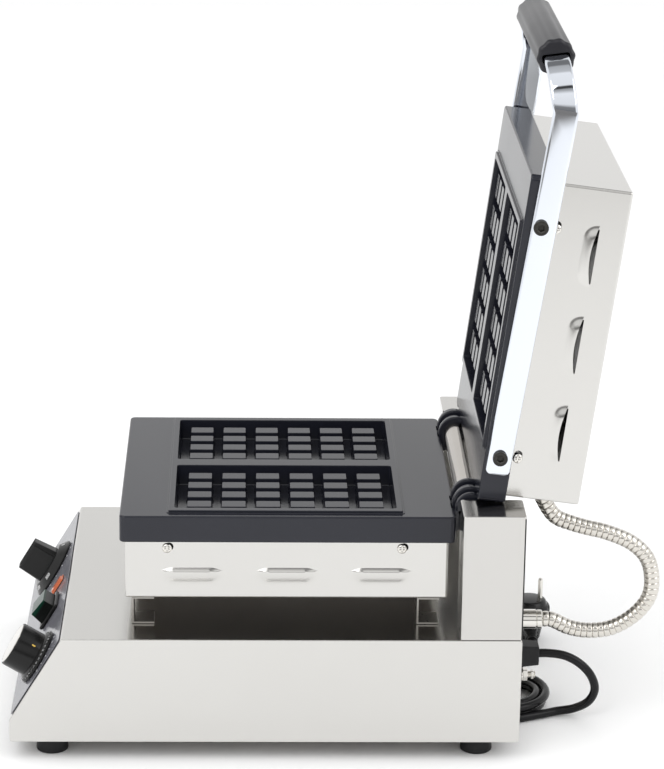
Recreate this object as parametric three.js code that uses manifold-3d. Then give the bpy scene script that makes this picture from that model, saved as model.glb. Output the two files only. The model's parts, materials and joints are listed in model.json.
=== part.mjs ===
// Belgian waffle maker: two cast grids hinged over a sloped stainless base, lid shown open.
// Millimetres, +Z up, controls toward -Y, hinge and cord at the rear (+Y).
import * as THREE from 'three';
import { mergeVertices } from 'three/addons/utils/BufferGeometryUtils.js';
import Module from 'manifold-3d';

const wasm = await Module();
wasm.setup();

// Common clearances
const seat = 0.3;
const overrun = 2;

// Base case, y counted from the middle of its depth
const baseWidth = 310;
const baseDepth = 412;
const footHeight = 16;
const baseTop = 105;
const lipHeight = 18.4;
const slopeRun = 42.6;
const baseSheet = 1.5;
const foldRadius = 2.4;
const floorSheet = 1.5;
const floorFlange = 10;
const footRadius = 13;
const footTopRadius = 12;
const footChamfer = 1.5;
const footInsetX = 24.5;
const footInsetY = 33;
const footScrewRadius = 4;
const footScrewDepth = 5;

// Columns at the rear
const columnWidth = 40.3;
const columnDepth = 50;
const columnOverAxis = 8.7;
const columnSheet = 1.5;
const columnFold = 2;

// Hinge
const hingeInset = 41.3;
const hingeZ = 202;
const lidTiltDegrees = 7.3;
const shaftRadius = 6;
const shaftInset = 9;
const hingeTubeRadius = 10;
const knuckleRadius = 14.5;
const knuckleChamfer = 1.6;
const knuckleColumnGap = 2.8;
const knuckleWidth = 8.6;
const knuckleGap = 0.5;
const knucklesPerGroup = 4;
const knuckleRelief = 0.9;
const knuckleWebDepth = 5;

// Grid castings, seen from the parting plane: x across, r away from the hinge, depth into the casting
const plateOverhang = 3.5;
const plateNear = 12.4;
const plateFar = 282.3;
const plateFace = 2.4;
const plateThickness = 22.3;
const plateCorner = 8;
const plateBevel = 1.2;
const rimInset = 7;
const rimNear = 53.2;
const rimFar = 244.7;
const rimTop = 0.2;
const rimStep = 1.6;
const rimBevel = 0.7;
const wellInner = 7.7;
const wellInset = 15;
const wellNear = 59.6;
const wellFar = 238.4;
const wellFloor = 17.4;
const wellDraft = 1;
const postsAcross = 4;
const postsAlong = 6;
const grooveX = 9.05;
const grooveR = 9.5;
const edgeGrooveX = 11.125;
const edgeGrooveR = 10.45;
const postTop = 3.3;
const postDraft = 1;
const postBevel = 0.8;
const lugWidth = 16;
const lugDepth = 11;
const lugThickness = 10;

// Housings behind the castings
const housingInset = 32;
const housingNear = 18;
const housingFar = 278;
const housingSheet = 1.2;
const lowerHousingBack = 73.5;
const lidHousingBack = 83.9;
const louvreLength = 52;
const louvreRise = 3.4;
const louvreSheet = 1.1;
const lowerLouvreHeight = 12;
const lowerLouvreMouth = 49.8;
const lowerLouvreRows = [224.4, 147.7, 71.8];
const lidLouvreHeight = 12;
const lidLouvreMouth = 62.6;
const lidLouvreRows = [223, 149, 75];
const lowerScrewDepth = 30.5;
const lowerScrewRows = [244.1, 55.3];
const lidScrewDepth = 29;
const lidScrewRows = [241.4, 51];
const screwHeadRadius = 4;
const screwHeadHeight = 2.2;
const screwShankRadius = 2;
const screwShankLength = 9;

// Brackets under the lower housing
const bracketInset = 2;
const bracketLength = 23;
const bracketSheet = 1.5;
const bracketReach = 18;
const bracketBend = 1.6;
const bracketRows = [272.7, 42.2];

// Heating elements
const heaterRadius = 3.5;
const heaterInset = 18;
const heaterNear = 66;
const heaterFar = 226;
const heaterBend = 22;
const heaterTailX = 20;
const heaterTailR = 42;
const clampInset = 27;
const clampNear = 50;
const clampFar = 244;
const clampSheet = 1.5;
const clampCorner = 6;
const probeRadius = 3;
const probeLength = 70;

// Handle, in the lid's own directions: r up from the hinge, t off the parting plane
const barWidth = 20;
const barThickness = 5;
const barEdge = 1.1;
const barLowEnd = 36;
const barLowT = 13.7;
const barStraightEnd = 333;
const barStraightT = 20.4;
const barCornerRadius = 37;
const barTiltDegrees = 15;
const boltRows = [52.1, 243];
const boltTs = [14, 15.6];
const boltHeadRadius = 6;
const boltHeadHeight = 5;
const boltSocketRadius = 2.9;
const boltSocketDepth = 2.6;
const boltShankRadius = 3;
const boltShankLength = 13;
const gripRadius = 15.8;
const gripLobes = 10;
const gripFlute = 1.1;
const gripEndRound = 3;

// Controls on the slope: x across, s up the slope from its foot, h square to it
const labelInset = 5;
const labelLow = 3;
const labelHigh = 79.5;
const labelSheet = 0.6;
const labelCorner = 3;
const thermostatInset = 76;
const thermostatS = 46.8;
const timerInset = 39;
const timerS = 44.5;
const shaftHole = 5;
const spindleRadius = 3;
const spindleTop = 15;
const knobLift = 1.6;
const skirtEdge = 1.6;
const thermostatSkirt = 27;
const thermostatShoulder = 19.5;
const thermostatSkirtTop = 8.5;
const thermostatTop = 27.5;
const thermostatBarLength = 31;
const thermostatBarWidth = 15;
const thermostatBarTaper = 1.2;
const timerSkirt = 23.5;
const timerShoulder = 19.5;
const timerSkirtTop = 6.5;
const timerBody = 18.6;
const timerTop = 26;
const timerCapRadius = 15.5;
const timerCapHeight = 1.6;
const timerCapRecess = 0.8;
const thermostatCaseX = 38;
const thermostatCaseS = 34;
const thermostatCaseDepth = 30;
const timerCaseX = 44;
const timerCaseS = 44;
const timerCaseDepth = 36;
const switchX = 36;
const switchS = 54;
const switchLength = 32;
const switchWidth = 26;
const bezelHeight = 3;
const bezelWall = 2.6;
const switchCaseDepth = 28;
const switchCaseInset = 1.6;
const rockerRise = 10.5;
const rockerPivotDepth = 1.5;
const rockerDepth = 5;
const rockerTravelDegrees = 14;
const lampX = -8;
const lampS = 61;
const lampLength = 15;
const lampWidth = 8;
const lampHeight = 2.6;
const lampFlange = 1.4;
const lampFlangeHeight = 1;
const lampCaseDepth = 22;

// Rear wall fittings
const fittingX = 80;
const conduitZ = 93.5;
const connectorLength = 22.6;
const connectorFlange = 9.6;
const connectorFlangeLength = 6;
const connectorBody = 8.1;
const connectorBore = 4.4;
const connectorTail = 6;
const connectorTailRadius = 6.4;
const upperConnectorFlange = 2.6;
const upperConnectorInside = 14;
const upperConnectorT = 56;
const conduitRadius = 6.6;
const conduitValley = 5.7;
const conduitBore = 4.1;
const conduitPitch = 4.4;
const conduitSides = 8;
const boreEvery = 3;
const glandZ = 63;
const glandHalfX = 10.5;
const glandHalfZ = 10.2;
const glandLength = 20.7;
const glandTaper = 2;
const glandStep = 2.2;
const glandStepLength = 6;
const glandTail = 6;
const glandTailRadius = 6;
const studZ = 44;
const studRadius = 2.5;
const studLength = 20;
const studWasher = 6;
const studWasherHeight = 1.2;
const studNut = 4.6;
const studNutHeight = 3.2;
const studTail = 6;

// Power cord, y counted from the rear wall
const cordRadius = 3.65;
const cordSides = 8;
const cordStep = 16;
const coilX = 38;
const coilY = -7;
const coilRadius = 43.5;
const coilPitch = 7.9;
const coilStartDegrees = 30;
const coilTurns = 10 / 3;
const coilSteps = 24;
const coilSides = 6;
const coilRest = 3.7;
const cordRoute = [
  [80, 43, 60.8],
  [79.8, 56, 53.6],
  [78.8, 66, 42],
  [76.2, 69.8, 28.6],
  [71.6, 65.4, 15.8],
  [66.5, 54, 7.2],
  [64.8, 40, 4],
];
const tailRoute = [
  [8, -49.4, 9.4],
  [-10, -44, 5.4],
  [-23, -33, 3.8],
  [-31, -17, 3.8],
  [-36, 0, 3.8],
  [-42, 15, 5],
  [-51, 26, 8.4],
];
const plugX = -108;
const plugY = 31.5;
const plugRadius = 18.5;
const plugHeight = 37;
const plugBackRadius = 14;
const plugFaceEdge = 1.5;
const plugEntryZ = 11;
const plugReliefLength = 20;
const plugReliefRoot = 7.2;
const plugReliefTip = 5;
const pinRadius = 2.4;
const pinLength = 19;
const pinSpacing = 19;
const pinTip = 1.2;
const pinSocket = 6;

// Inside the base
const terminalX = 60;
const terminalY = 120;
const terminalLength = 64;
const terminalWidth = 22;
const terminalHeight = 20;
const terminalWays = 6;
const terminalRib = 1.6;
const terminalRibHeight = 5;

// Facets of round stretches
const roundSides = 28;
const middleSides = 20;
const smallSides = 16;
const boltSides = 12;
const screwSides = 8;
const arcSteps = 4;

const baseHalf = baseWidth / 2;
const baseRear = baseDepth / 2;
const baseFront = -baseRear;
const slopeHeadY = baseFront + slopeRun;
const slopeFootZ = footHeight + lipHeight;
const slopeAngle = Math.atan2(baseTop - slopeFootZ, slopeRun);
const columnInner = baseHalf - columnWidth;
const columnFront = baseRear - columnDepth;
const columnTop = hingeZ + columnOverAxis;
const hingeY = baseRear - hingeInset;
const shaftHalf = baseHalf - shaftInset;
const knuckleGroup = knucklesPerGroup * (knuckleWidth + knuckleGap) - knuckleGap;
const knuckleStart = columnInner - knuckleColumnGap - knuckleGroup;
const housingHalf = baseHalf - housingInset;
const plateHalf = housingHalf + plateOverhang;
const rimHalf = plateHalf - rimInset;
const wellOuter = plateHalf - wellInset;
const postTopX = (wellOuter - wellInner - 2 * edgeGrooveX - (postsAcross - 1) * grooveX) / postsAcross;
const postTopR = (wellFar - wellNear - 2 * edgeGrooveR - (postsAlong - 1) * grooveR) / postsAlong;
const clampHalf = housingHalf - clampInset;
const thermostatX = thermostatInset - baseHalf;
const timerX = baseHalf - timerInset;
const plateBack = plateFace + plateThickness;
const housingFront = plateBack + seat;
const lidTilt = THREE.MathUtils.degToRad(lidTiltDegrees);

// Shapes and solids

// Shared corners merged, collapsed triangles dropped and the faces turned outward.
function tidy(geometry) {
  geometry.deleteAttribute('normal');
  geometry.deleteAttribute('uv');
  const merged = mergeVertices(geometry);
  const corners = merged.index.array;
  const places = merged.attributes.position;
  const triangles = [];
  let volume = 0;
  for (let i = 0; i < corners.length; i += 3) {
    const [a, b, c] = [corners[i], corners[i + 1], corners[i + 2]];
    if (a === b || b === c || c === a) continue;
    const [p, q, r] = [a, b, c].map((corner) => new THREE.Vector3().fromBufferAttribute(places, corner));
    volume += p.dot(q.cross(r));
    triangles.push([a, b, c]);
  }
  merged.setIndex(triangles.flatMap(([a, b, c]) => (volume < 0 ? [a, c, b] : [a, b, c])));
  return merged;
}

function asSolid(shape) {
  if (shape instanceof wasm.Manifold) return shape;
  const bare = tidy(shape);
  return new wasm.Manifold(new wasm.Mesh({
    numProp: 3,
    vertProperties: new Float32Array(bare.attributes.position.array),
    triVerts: new Uint32Array(bare.index.array),
  }));
}

function asGeometry(shape) {
  if (shape instanceof THREE.BufferGeometry) return tidy(shape);
  const mesh = shape.getMesh();
  const geometry = new THREE.BufferGeometry();
  geometry.setAttribute('position', new THREE.BufferAttribute(new Float32Array(mesh.vertProperties), 3));
  geometry.setIndex(Array.from(mesh.triVerts));
  return geometry;
}

function join(...shapes) {
  return shapes.map(asSolid).reduce((whole, shape) => whole.add(shape));
}

function cut(shape, ...tools) {
  return tools.map(asSolid).reduce((rest, tool) => rest.subtract(tool), asSolid(shape));
}

function common(first, second) {
  return asSolid(first).intersect(asSolid(second));
}

function block(x0, x1, y0, y1, z0, z1) {
  const geometry = new THREE.BoxGeometry(x1 - x0, y1 - y0, z1 - z0);
  return geometry.translate((x0 + x1) / 2, (y0 + y1) / 2, (z0 + z1) / 2);
}

const axisX = new THREE.Vector3(1, 0, 0);
const axisY = new THREE.Vector3(0, 1, 0);
const axisZ = new THREE.Vector3(0, 0, 1);
const directions = {
  x: new THREE.Matrix4().makeBasis(axisY, axisZ, axisX),
  y: new THREE.Matrix4().makeBasis(axisZ, axisX, axisY),
  z: new THREE.Matrix4(),
};

// Outline pairs are (y, z) along x, (z, x) along y and (x, y) along z.
function prism(direction, outline, from, to) {
  const shape = new THREE.Shape(outline.map(([a, b]) => new THREE.Vector2(a, b)));
  const geometry = new THREE.ExtrudeGeometry(shape, { depth: to - from, bevelEnabled: false });
  return geometry.translate(0, 0, from).applyMatrix4(directions[direction]);
}

// A prism along z whose two end faces are drawn in by the bevel.
function bevelled(outline, from, to, bevel) {
  const shape = new THREE.Shape(outline.map(([a, b]) => new THREE.Vector2(a, b)));
  const geometry = new THREE.ExtrudeGeometry(shape, {
    depth: to - from - 2 * bevel,
    bevelThickness: bevel,
    bevelSize: bevel,
    bevelOffset: -bevel,
    bevelSegments: 1,
  });
  return geometry.translate(0, 0, from + bevel);
}

// A profile of (radius, height) pairs turned about the named axis.
function turned(direction, profile, sides = roundSides) {
  const points = profile.map(([radius, height]) => new THREE.Vector2(radius, height));
  const geometry = new THREE.LatheGeometry(points, sides);
  return geometry.rotateX(Math.PI / 2).applyMatrix4(directions[direction]);
}

function rod(direction, radius, from, to, sides = roundSides) {
  return turned(direction, [[0, from], [radius, from], [radius, to], [0, to]], sides);
}

function rectangle(x0, x1, y0, y1) {
  return [[x0, y0], [x1, y0], [x1, y1], [x0, y1]];
}

// The outline with each corner turned on the radius.
function rounded(outline, radius, steps = arcSteps) {
  const count = outline.length;
  return outline.flatMap(([x, y], i) => {
    const corner = new THREE.Vector2(x, y);
    const before = new THREE.Vector2(...outline[(i + count - 1) % count]).sub(corner).normalize();
    const after = new THREE.Vector2(...outline[(i + 1) % count]).sub(corner).normalize();
    const half = Math.acos(before.dot(after)) / 2;
    const centre = before.clone().add(after).setLength(radius / Math.sin(half)).add(corner);
    const start = before.clone().setLength(radius / Math.tan(half)).add(corner).sub(centre);
    const end = after.clone().setLength(radius / Math.tan(half)).add(corner).sub(centre);
    const sweep = Math.atan2(start.cross(end), start.dot(end));
    return Array.from({ length: steps + 1 }, (_, k) => {
      const point = start.clone().rotateAround(new THREE.Vector2(), sweep * k / steps).add(centre);
      return [point.x, point.y];
    });
  });
}

// The outline, counter-clockwise, with each side moved in by the distance.
function inset(outline, distance) {
  const count = outline.length;
  return outline.map(([x, y], i) => {
    const [px, py] = outline[(i + count - 1) % count];
    const [nx, ny] = outline[(i + 1) % count];
    const before = new THREE.Vector2(x - px, y - py).normalize();
    const after = new THREE.Vector2(nx - x, ny - y).normalize();
    const inward = new THREE.Vector2(-before.y - after.y, before.x + after.x);
    const reach = distance / (inward.lengthSq() / 2);
    return [x + inward.x * reach, y + inward.y * reach];
  });
}

// Rings of equal counts skinned one to the next, both ends closed.
function loft(rings) {
  const sides = rings[0].length;
  const positions = rings.flat().flatMap((point) => point.toArray());
  const index = [];
  for (let ring = 0; ring < rings.length - 1; ring += 1) {
    for (let side = 0; side < sides; side += 1) {
      const a = ring * sides + side;
      const b = ring * sides + (side + 1) % sides;
      index.push(a, b, b + sides, a, b + sides, a + sides);
    }
  }
  const last = (rings.length - 1) * sides;
  for (let side = 1; side < sides - 1; side += 1) {
    index.push(0, side + 1, side, last, last + side, last + side + 1);
  }
  const geometry = new THREE.BufferGeometry();
  geometry.setAttribute('position', new THREE.Float32BufferAttribute(positions, 3));
  geometry.setIndex(index);
  return geometry;
}

// Directions square to a run of points, carried along without twist.
function carriedFrames(points) {
  let side = null;
  return points.map((point, i) => {
    const before = points[Math.max(i - 1, 0)];
    const after = points[Math.min(i + 1, points.length - 1)];
    const along = after.clone().sub(before).normalize();
    const start = Math.abs(along.z) > Math.SQRT1_2 ? axisX : axisZ;
    side = (side ?? start).clone().addScaledVector(along, -(side ?? start).dot(along)).normalize();
    return { point, side, other: along.clone().cross(side) };
  });
}

function ringAt({ point, side, other }, radius, sides) {
  return Array.from({ length: sides }, (_, k) => {
    const angle = 2 * Math.PI * (k + 0.5) / sides;
    return point.clone()
      .addScaledVector(side, radius * Math.cos(angle))
      .addScaledVector(other, radius * Math.sin(angle));
  });
}

function tubeAlong(points, radius, sides) {
  return loft(carriedFrames(points).map((frame) => ringAt(frame, radius, sides)));
}

// The cord from a start through the route's free points to an end, straight over its first and last pair.
function cordAlong(start, startAfter, route, endBefore, end) {
  const free = route.map(([x, y, z]) => new THREE.Vector3(x, baseRear + y, z));
  const points = [start, startAfter, ...free, endBefore, end];
  const curve = new THREE.CatmullRomCurve3(points, false, 'centripetal');
  const section = new THREE.Shape();
  section.absarc(0, 0, cordRadius, 0, 2 * Math.PI);
  return new THREE.ExtrudeGeometry(section, {
    steps: Math.ceil(curve.getLength() / cordStep),
    curveSegments: cordSides,
    bevelEnabled: false,
    extrudePath: curve,
  });
}

// Materials

function finish(color, roughness, metalness) {
  return new THREE.MeshStandardMaterial({ color, roughness, metalness });
}

const stainless = finish(0xd2d0cb, 0.34, 0.9);
const castIron = finish(0x3a3c46, 0.5, 0.25);
const chrome = finish(0xe1ebf0, 0.08, 1);
const nickel = finish(0xc9c6bd, 0.25, 1);
const blackSteel = finish(0x26262a, 0.4, 0.8);
const bakelite = finish(0x38373c, 0.38, 0);
const knobPlastic = finish(0x3a3938, 0.35, 0);
const rubber = finish(0x2a2a2c, 0.7, 0);
const labelGrey = finish(0x8e8d96, 0.45, 0.3);
const green = finish(0x0d3a2b, 0.3, 0);
const orange = finish(0xe05a2a, 0.25, 0);
const galvanised = finish(0xa8a8a6, 0.5, 0.8);
const brass = finish(0xb89a58, 0.35, 1);
const cordBlack = finish(0x333134, 0.55, 0);
const conduitSteel = finish(0xd6d1c8, 0.3, 1);

const machine = new THREE.Group();
const controls = new THREE.Group();
controls.position.set(0, baseFront, slopeFootZ);
controls.rotation.x = slopeAngle;
controls.updateMatrix();
const lid = new THREE.Group();
lid.position.set(0, hingeY, hingeZ);
lid.rotation.x = -lidTilt;
lid.updateMatrix();
machine.add(controls, lid);

function add(parent, name, shape, material) {
  const mesh = new THREE.Mesh(asGeometry(shape), material);
  mesh.name = name;
  parent.add(mesh);
  return mesh;
}

// Grid frame to the lower half: r runs forward from the hinge, depth runs down.
function asLower(geometry) {
  return geometry.rotateX(Math.PI).translate(0, hingeY, hingeZ);
}

// Grid frame to the lid: r runs up the lid, depth runs behind it.
function asLid(geometry) {
  return geometry.rotateX(Math.PI / 2).rotateZ(Math.PI);
}

// Base case

function baseProfile() {
  return [
    [baseFront, footHeight],
    [baseRear, footHeight],
    [baseRear, baseTop],
    [slopeHeadY, baseTop],
    [baseFront, slopeFootZ],
  ];
}

function onSlope(geometry) {
  return geometry.applyMatrix4(controls.matrix);
}

function slopeCuts() {
  return [
    rod('z', shaftHole, -overrun - baseSheet, overrun, smallSides).translate(thermostatX, thermostatS, 0),
    rod('z', shaftHole, -overrun - baseSheet, overrun, smallSides).translate(timerX, timerS, 0),
    block(...switchCut(seat), -overrun - baseSheet, overrun),
    block(...lampCut(seat), -overrun - baseSheet, overrun),
  ];
}

function switchCut(clearance) {
  const halfX = switchLength / 2 - switchCaseInset + clearance;
  const halfS = switchWidth / 2 - switchCaseInset + clearance;
  return [switchX - halfX, switchX + halfX, switchS - halfS, switchS + halfS];
}

function lampCut(clearance) {
  const halfX = lampWidth / 2 + clearance;
  const halfS = lampLength / 2 + clearance;
  return [lampX - halfX, lampX + halfX, lampS - halfS, lampS + halfS];
}

function rearCut(radius, z) {
  const hole = rod('y', radius, baseRear - baseSheet - overrun, baseRear + overrun, smallSides);
  return hole.translate(fittingX, 0, z);
}

function makeBase() {
  const outer = prism('x', rounded(baseProfile(), foldRadius), -baseHalf, baseHalf);
  const innerHalf = baseHalf - baseSheet;
  const inner = prism('x', inset(baseProfile(), baseSheet), -innerHalf, innerHalf);
  const mouth = block(
    -innerHalf, innerHalf,
    baseFront + baseSheet, baseRear - baseSheet,
    footHeight - overrun, footHeight + overrun,
  );
  const shell = cut(
    outer,
    inner,
    mouth,
    ...slopeCuts().map(onSlope),
    rearCut(connectorTailRadius + seat, conduitZ),
    rearCut(glandTailRadius + seat, glandZ),
    rearCut(studRadius + seat, studZ),
  );
  add(machine, 'base_shell', shell, stainless);
}

function makeFloor() {
  const half = baseHalf - baseSheet - seat;
  const front = baseFront + baseSheet + seat;
  const rear = baseRear - baseSheet - seat;
  const under = footHeight + seat;
  const pan = block(-half, half, front, rear, under, under + floorFlange);
  const hollow = block(
    -half + floorSheet, half - floorSheet,
    front + floorSheet, rear - floorSheet,
    under + floorSheet, under + floorFlange + overrun,
  );
  const holes = footPlaces().map(({ x, y }) => {
    const hole = rod('z', footScrewRadius + seat, under - overrun, under + floorSheet + overrun, smallSides);
    return hole.translate(x, y, 0);
  });
  add(machine, 'base_floor', cut(pan, hollow, ...holes), galvanised);
}

function footPlaces() {
  const x = baseHalf - footInsetX;
  const y = baseRear - footInsetY;
  return [
    { side: 'front_right', x, y: -y },
    { side: 'front_left', x: -x, y: -y },
    { side: 'rear_right', x, y },
    { side: 'rear_left', x: -x, y },
  ];
}

function makeFeet() {
  const top = footHeight;
  const profile = [
    [0, 0],
    [footRadius - footChamfer, 0],
    [footRadius, footChamfer],
    [footTopRadius, top],
    [footScrewRadius, top],
    [footScrewRadius, top + footScrewDepth],
    [0, top + footScrewDepth],
  ];
  for (const { side, x, y } of footPlaces()) {
    add(machine, `foot_${side}`, turned('z', profile, smallSides), rubber).position.set(x, y, 0);
  }
}

function makeTerminalBlock() {
  const bottom = footHeight + seat + floorSheet + seat;
  const shoulder = bottom + terminalHeight - terminalRibHeight;
  const body = block(
    terminalX - terminalLength / 2, terminalX + terminalLength / 2,
    terminalY - terminalWidth / 2, terminalY + terminalWidth / 2,
    bottom, shoulder,
  );
  const pitch = (terminalLength - terminalRib) / terminalWays;
  const ribs = Array.from({ length: terminalWays + 1 }, (_, i) => {
    const x = terminalX - terminalLength / 2 + i * pitch;
    return block(
      x, x + terminalRib,
      terminalY - terminalWidth / 2, terminalY + terminalWidth / 2,
      shoulder - terminalRib, bottom + terminalHeight,
    );
  });
  add(machine, 'terminal_block', join(body, ...ribs), bakelite);
}

// Columns

function makeColumn(name, sign) {
  const bottom = baseTop + seat;
  const [x0, x1] = sign > 0 ? [columnInner, baseHalf] : [-baseHalf, -columnInner];
  const skin = prism('z', rounded(rectangle(x0, x1, columnFront, baseRear), columnFold), bottom, columnTop);
  const hollow = block(
    x0 + columnSheet, x1 - columnSheet,
    columnFront + columnSheet, baseRear - columnSheet,
    bottom - overrun, columnTop - columnSheet,
  );
  const inner = sign * (columnInner + columnSheet / 2);
  const bore = rod('x', shaftRadius + seat, inner - overrun, inner + overrun).translate(0, hingeY, hingeZ);
  add(machine, name, cut(skin, hollow, bore), stainless);
}

// Hinge

function knuckleSpans(first) {
  const spans = [];
  for (let i = first; i < knucklesPerGroup; i += 2) {
    const from = knuckleStart + i * (knuckleWidth + knuckleGap);
    spans.push([from, from + knuckleWidth], [-from - knuckleWidth, -from]);
  }
  return spans;
}

function knuckle([from, to]) {
  const ring = turned('x', [
    [0, from],
    [knuckleRadius - knuckleChamfer, from],
    [knuckleRadius, from + knuckleChamfer],
    [knuckleRadius, to - knuckleChamfer],
    [knuckleRadius - knuckleChamfer, to],
    [0, to],
  ], middleSides);
  const web = prism('x', [
    [0, 0],
    [plateNear + knuckleWebDepth, plateFace + plateBevel],
    [plateNear + knuckleWebDepth, plateBack - plateBevel],
    [0, knuckleRadius],
  ], from, to);
  return join(ring, web);
}

function makeHinge() {
  const shaft = turned('x', [
    [0, -shaftHalf],
    [shaftRadius, -shaftHalf],
    [shaftRadius, shaftHalf],
    [0, shaftHalf],
  ], smallSides);
  add(machine, 'hinge_shaft', shaft, blackSteel).position.set(0, hingeY, hingeZ);
  const half = knuckleStart - seat;
  const tube = turned('x', [
    [shaftRadius + seat, -half],
    [hingeTubeRadius, -half],
    [hingeTubeRadius, half],
    [shaftRadius + seat, half],
    [shaftRadius + seat, -half],
  ], middleSides);
  add(machine, 'hinge_tube', tube, stainless).position.set(0, hingeY, hingeZ);
}

// Grid castings

function frustum(x0, x1, y0, y1, z0, z1, draw) {
  return loft([
    [[x0, y0], [x1, y0], [x1, y1], [x0, y1]].map(([x, y]) => new THREE.Vector3(x, y, z0)),
    [[x0 + draw, y0 + draw], [x1 - draw, y0 + draw], [x1 - draw, y1 - draw], [x0 + draw, y1 - draw]]
      .map(([x, y]) => new THREE.Vector3(x, y, z1)),
  ]);
}

function well(sign) {
  const [x0, x1] = sign > 0 ? [wellInner, wellOuter] : [-wellOuter, -wellInner];
  const rise = (wellFloor - rimTop) / (wellFloor - rimTop + overrun);
  const flare = wellDraft / rise - wellDraft;
  const [near, far] = [wellNear - flare, wellFar + flare];
  return frustum(x0 - flare, x1 + flare, near, far, rimTop - overrun, wellFloor, wellDraft / rise);
}

function post(x, r) {
  const corners = (grow, depth) => rectangle(
    x - postTopX / 2 - grow, x + postTopX / 2 + grow,
    r - postTopR / 2 - grow, r + postTopR / 2 + grow,
  ).map(([a, b]) => new THREE.Vector3(a, b, depth));
  return loft([
    corners(-postBevel, postTop),
    corners(0, postTop + postBevel),
    corners(postDraft, wellFloor + plateBevel),
  ]);
}

function postPlaces() {
  const places = [];
  const middleR = (wellNear + wellFar) / 2;
  for (const middleX of [(wellInner + wellOuter) / 2, -(wellInner + wellOuter) / 2]) {
    for (let i = 0; i < postsAcross; i += 1) {
      for (let k = 0; k < postsAlong; k += 1) {
        const x = middleX + (i - (postsAcross - 1) / 2) * (postTopX + grooveX);
        const r = middleR + (k - (postsAlong - 1) / 2) * (postTopR + grooveR);
        places.push([x, r]);
      }
    }
  }
  return places;
}

function gridCasting(ownSpans, otherSpans, screwRows, screwDepth) {
  const slabOutline = rounded(rectangle(-plateHalf, plateHalf, plateNear, plateFar), plateCorner);
  const rimOutline = rectangle(-rimHalf, rimHalf, rimNear, rimFar);
  const slab = bevelled(slabOutline, plateFace, plateBack, plateBevel);
  const foot = prism('z', rimOutline, rimTop + rimStep, plateFace + plateBevel);
  const rim = bevelled(inset(rimOutline, rimStep), rimTop, plateFace + plateBevel + rimBevel, rimBevel);
  const lugs = screwRows.flatMap((r) => [-1, 1].map((sign) => {
    const outer = housingHalf - housingSheet - seat;
    const [x0, x1] = [sign * (outer - lugThickness), sign * outer].sort((a, b) => a - b);
    return block(x0, x1, r - lugWidth / 2, r + lugWidth / 2, plateBack - overrun, screwDepth + lugDepth / 2);
  }));
  const threads = screwRows.flatMap((r) => [-1, 1].map((sign) => {
    const [x0, x1] = [sign * (screwTip() - seat), sign * housingHalf].sort((a, b) => a - b);
    return rod('x', screwShankRadius + seat, x0, x1, screwSides).translate(0, r, screwDepth);
  }));
  const boltHoles = boltRows.flatMap((r, i) => [-1, 1].map((sign) => {
    const tip = barInner() + barThickness - boltShankLength - seat;
    const [x0, x1] = [sign * tip, sign * (plateHalf + overrun)].sort((a, b) => a - b);
    return rod('x', boltShankRadius + seat, x0, x1, boltSides).translate(0, r, boltTs[i]);
  }));
  const reliefs = otherSpans.map(([from, to]) => (
    rod('x', knuckleRadius + knuckleRelief, from - knuckleGap, to + knuckleGap, middleSides)
  ));
  const body = cut(join(slab, foot, rim, ...lugs), well(1), well(-1), ...reliefs, ...threads);
  const posts = postPlaces().map(([x, r]) => post(x, r));
  const ears = ownSpans.map(knuckle);
  const bore = rod('x', shaftRadius + seat, -plateHalf, plateHalf, smallSides);
  return { casting: cut(join(body, ...posts, ...ears), bore), boltHoles };
}

function makeCastings() {
  const lower = gridCasting(knuckleSpans(1), knuckleSpans(0), lowerScrewRows, lowerScrewDepth);
  add(machine, 'lower_plate', asLower(asGeometry(lower.casting)), castIron);
  const upper = gridCasting(knuckleSpans(0), knuckleSpans(1), lidScrewRows, lidScrewDepth);
  add(lid, 'lid_plate', asLid(asGeometry(cut(upper.casting, ...upper.boltHoles))), castIron);
}

// Housings

function capsule(radius, rise, length) {
  const geometry = new THREE.CapsuleGeometry(radius, length - 2 * radius, 2, 8);
  return geometry.scale(rise / radius, 1, 1);
}

// Hood and slot of one louvre on the side with the sign; mouthward is -1 or 1 along the depth.
function louvre(sign, r, mouth, height, mouthward) {
  const wall = sign * (housingHalf - housingSheet / 2);
  const outside = sign * (housingHalf + louvreRise + overrun);
  const [x0, x1] = [wall, outside].sort((a, b) => a - b);
  const back = mouth - mouthward * (height + overrun);
  const [z0, z1] = [mouth, back].sort((a, b) => a - b);
  const keep = block(x0, x1, r - louvreLength, r + louvreLength, z0, z1);
  const dome = capsule(height, louvreRise + housingSheet / 2, louvreLength).translate(wall, r, mouth);
  const slotHeight = height - louvreSheet;
  const inside = sign * (housingHalf - housingSheet - overrun);
  const [i0, i1] = [inside, outside].sort((a, b) => a - b);
  const [s0, s1] = [mouth + mouthward * housingSheet, back].sort((a, b) => a - b);
  const clear = block(i0, i1, r - louvreLength, r + louvreLength, s0, s1);
  const length = louvreLength - 2 * louvreSheet;
  const slotRise = louvreRise + housingSheet / 2 - louvreSheet;
  const slot = common(capsule(slotHeight, slotRise, length).translate(wall, r, mouth), clear);
  return { hood: common(dome, keep), slot };
}

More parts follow.
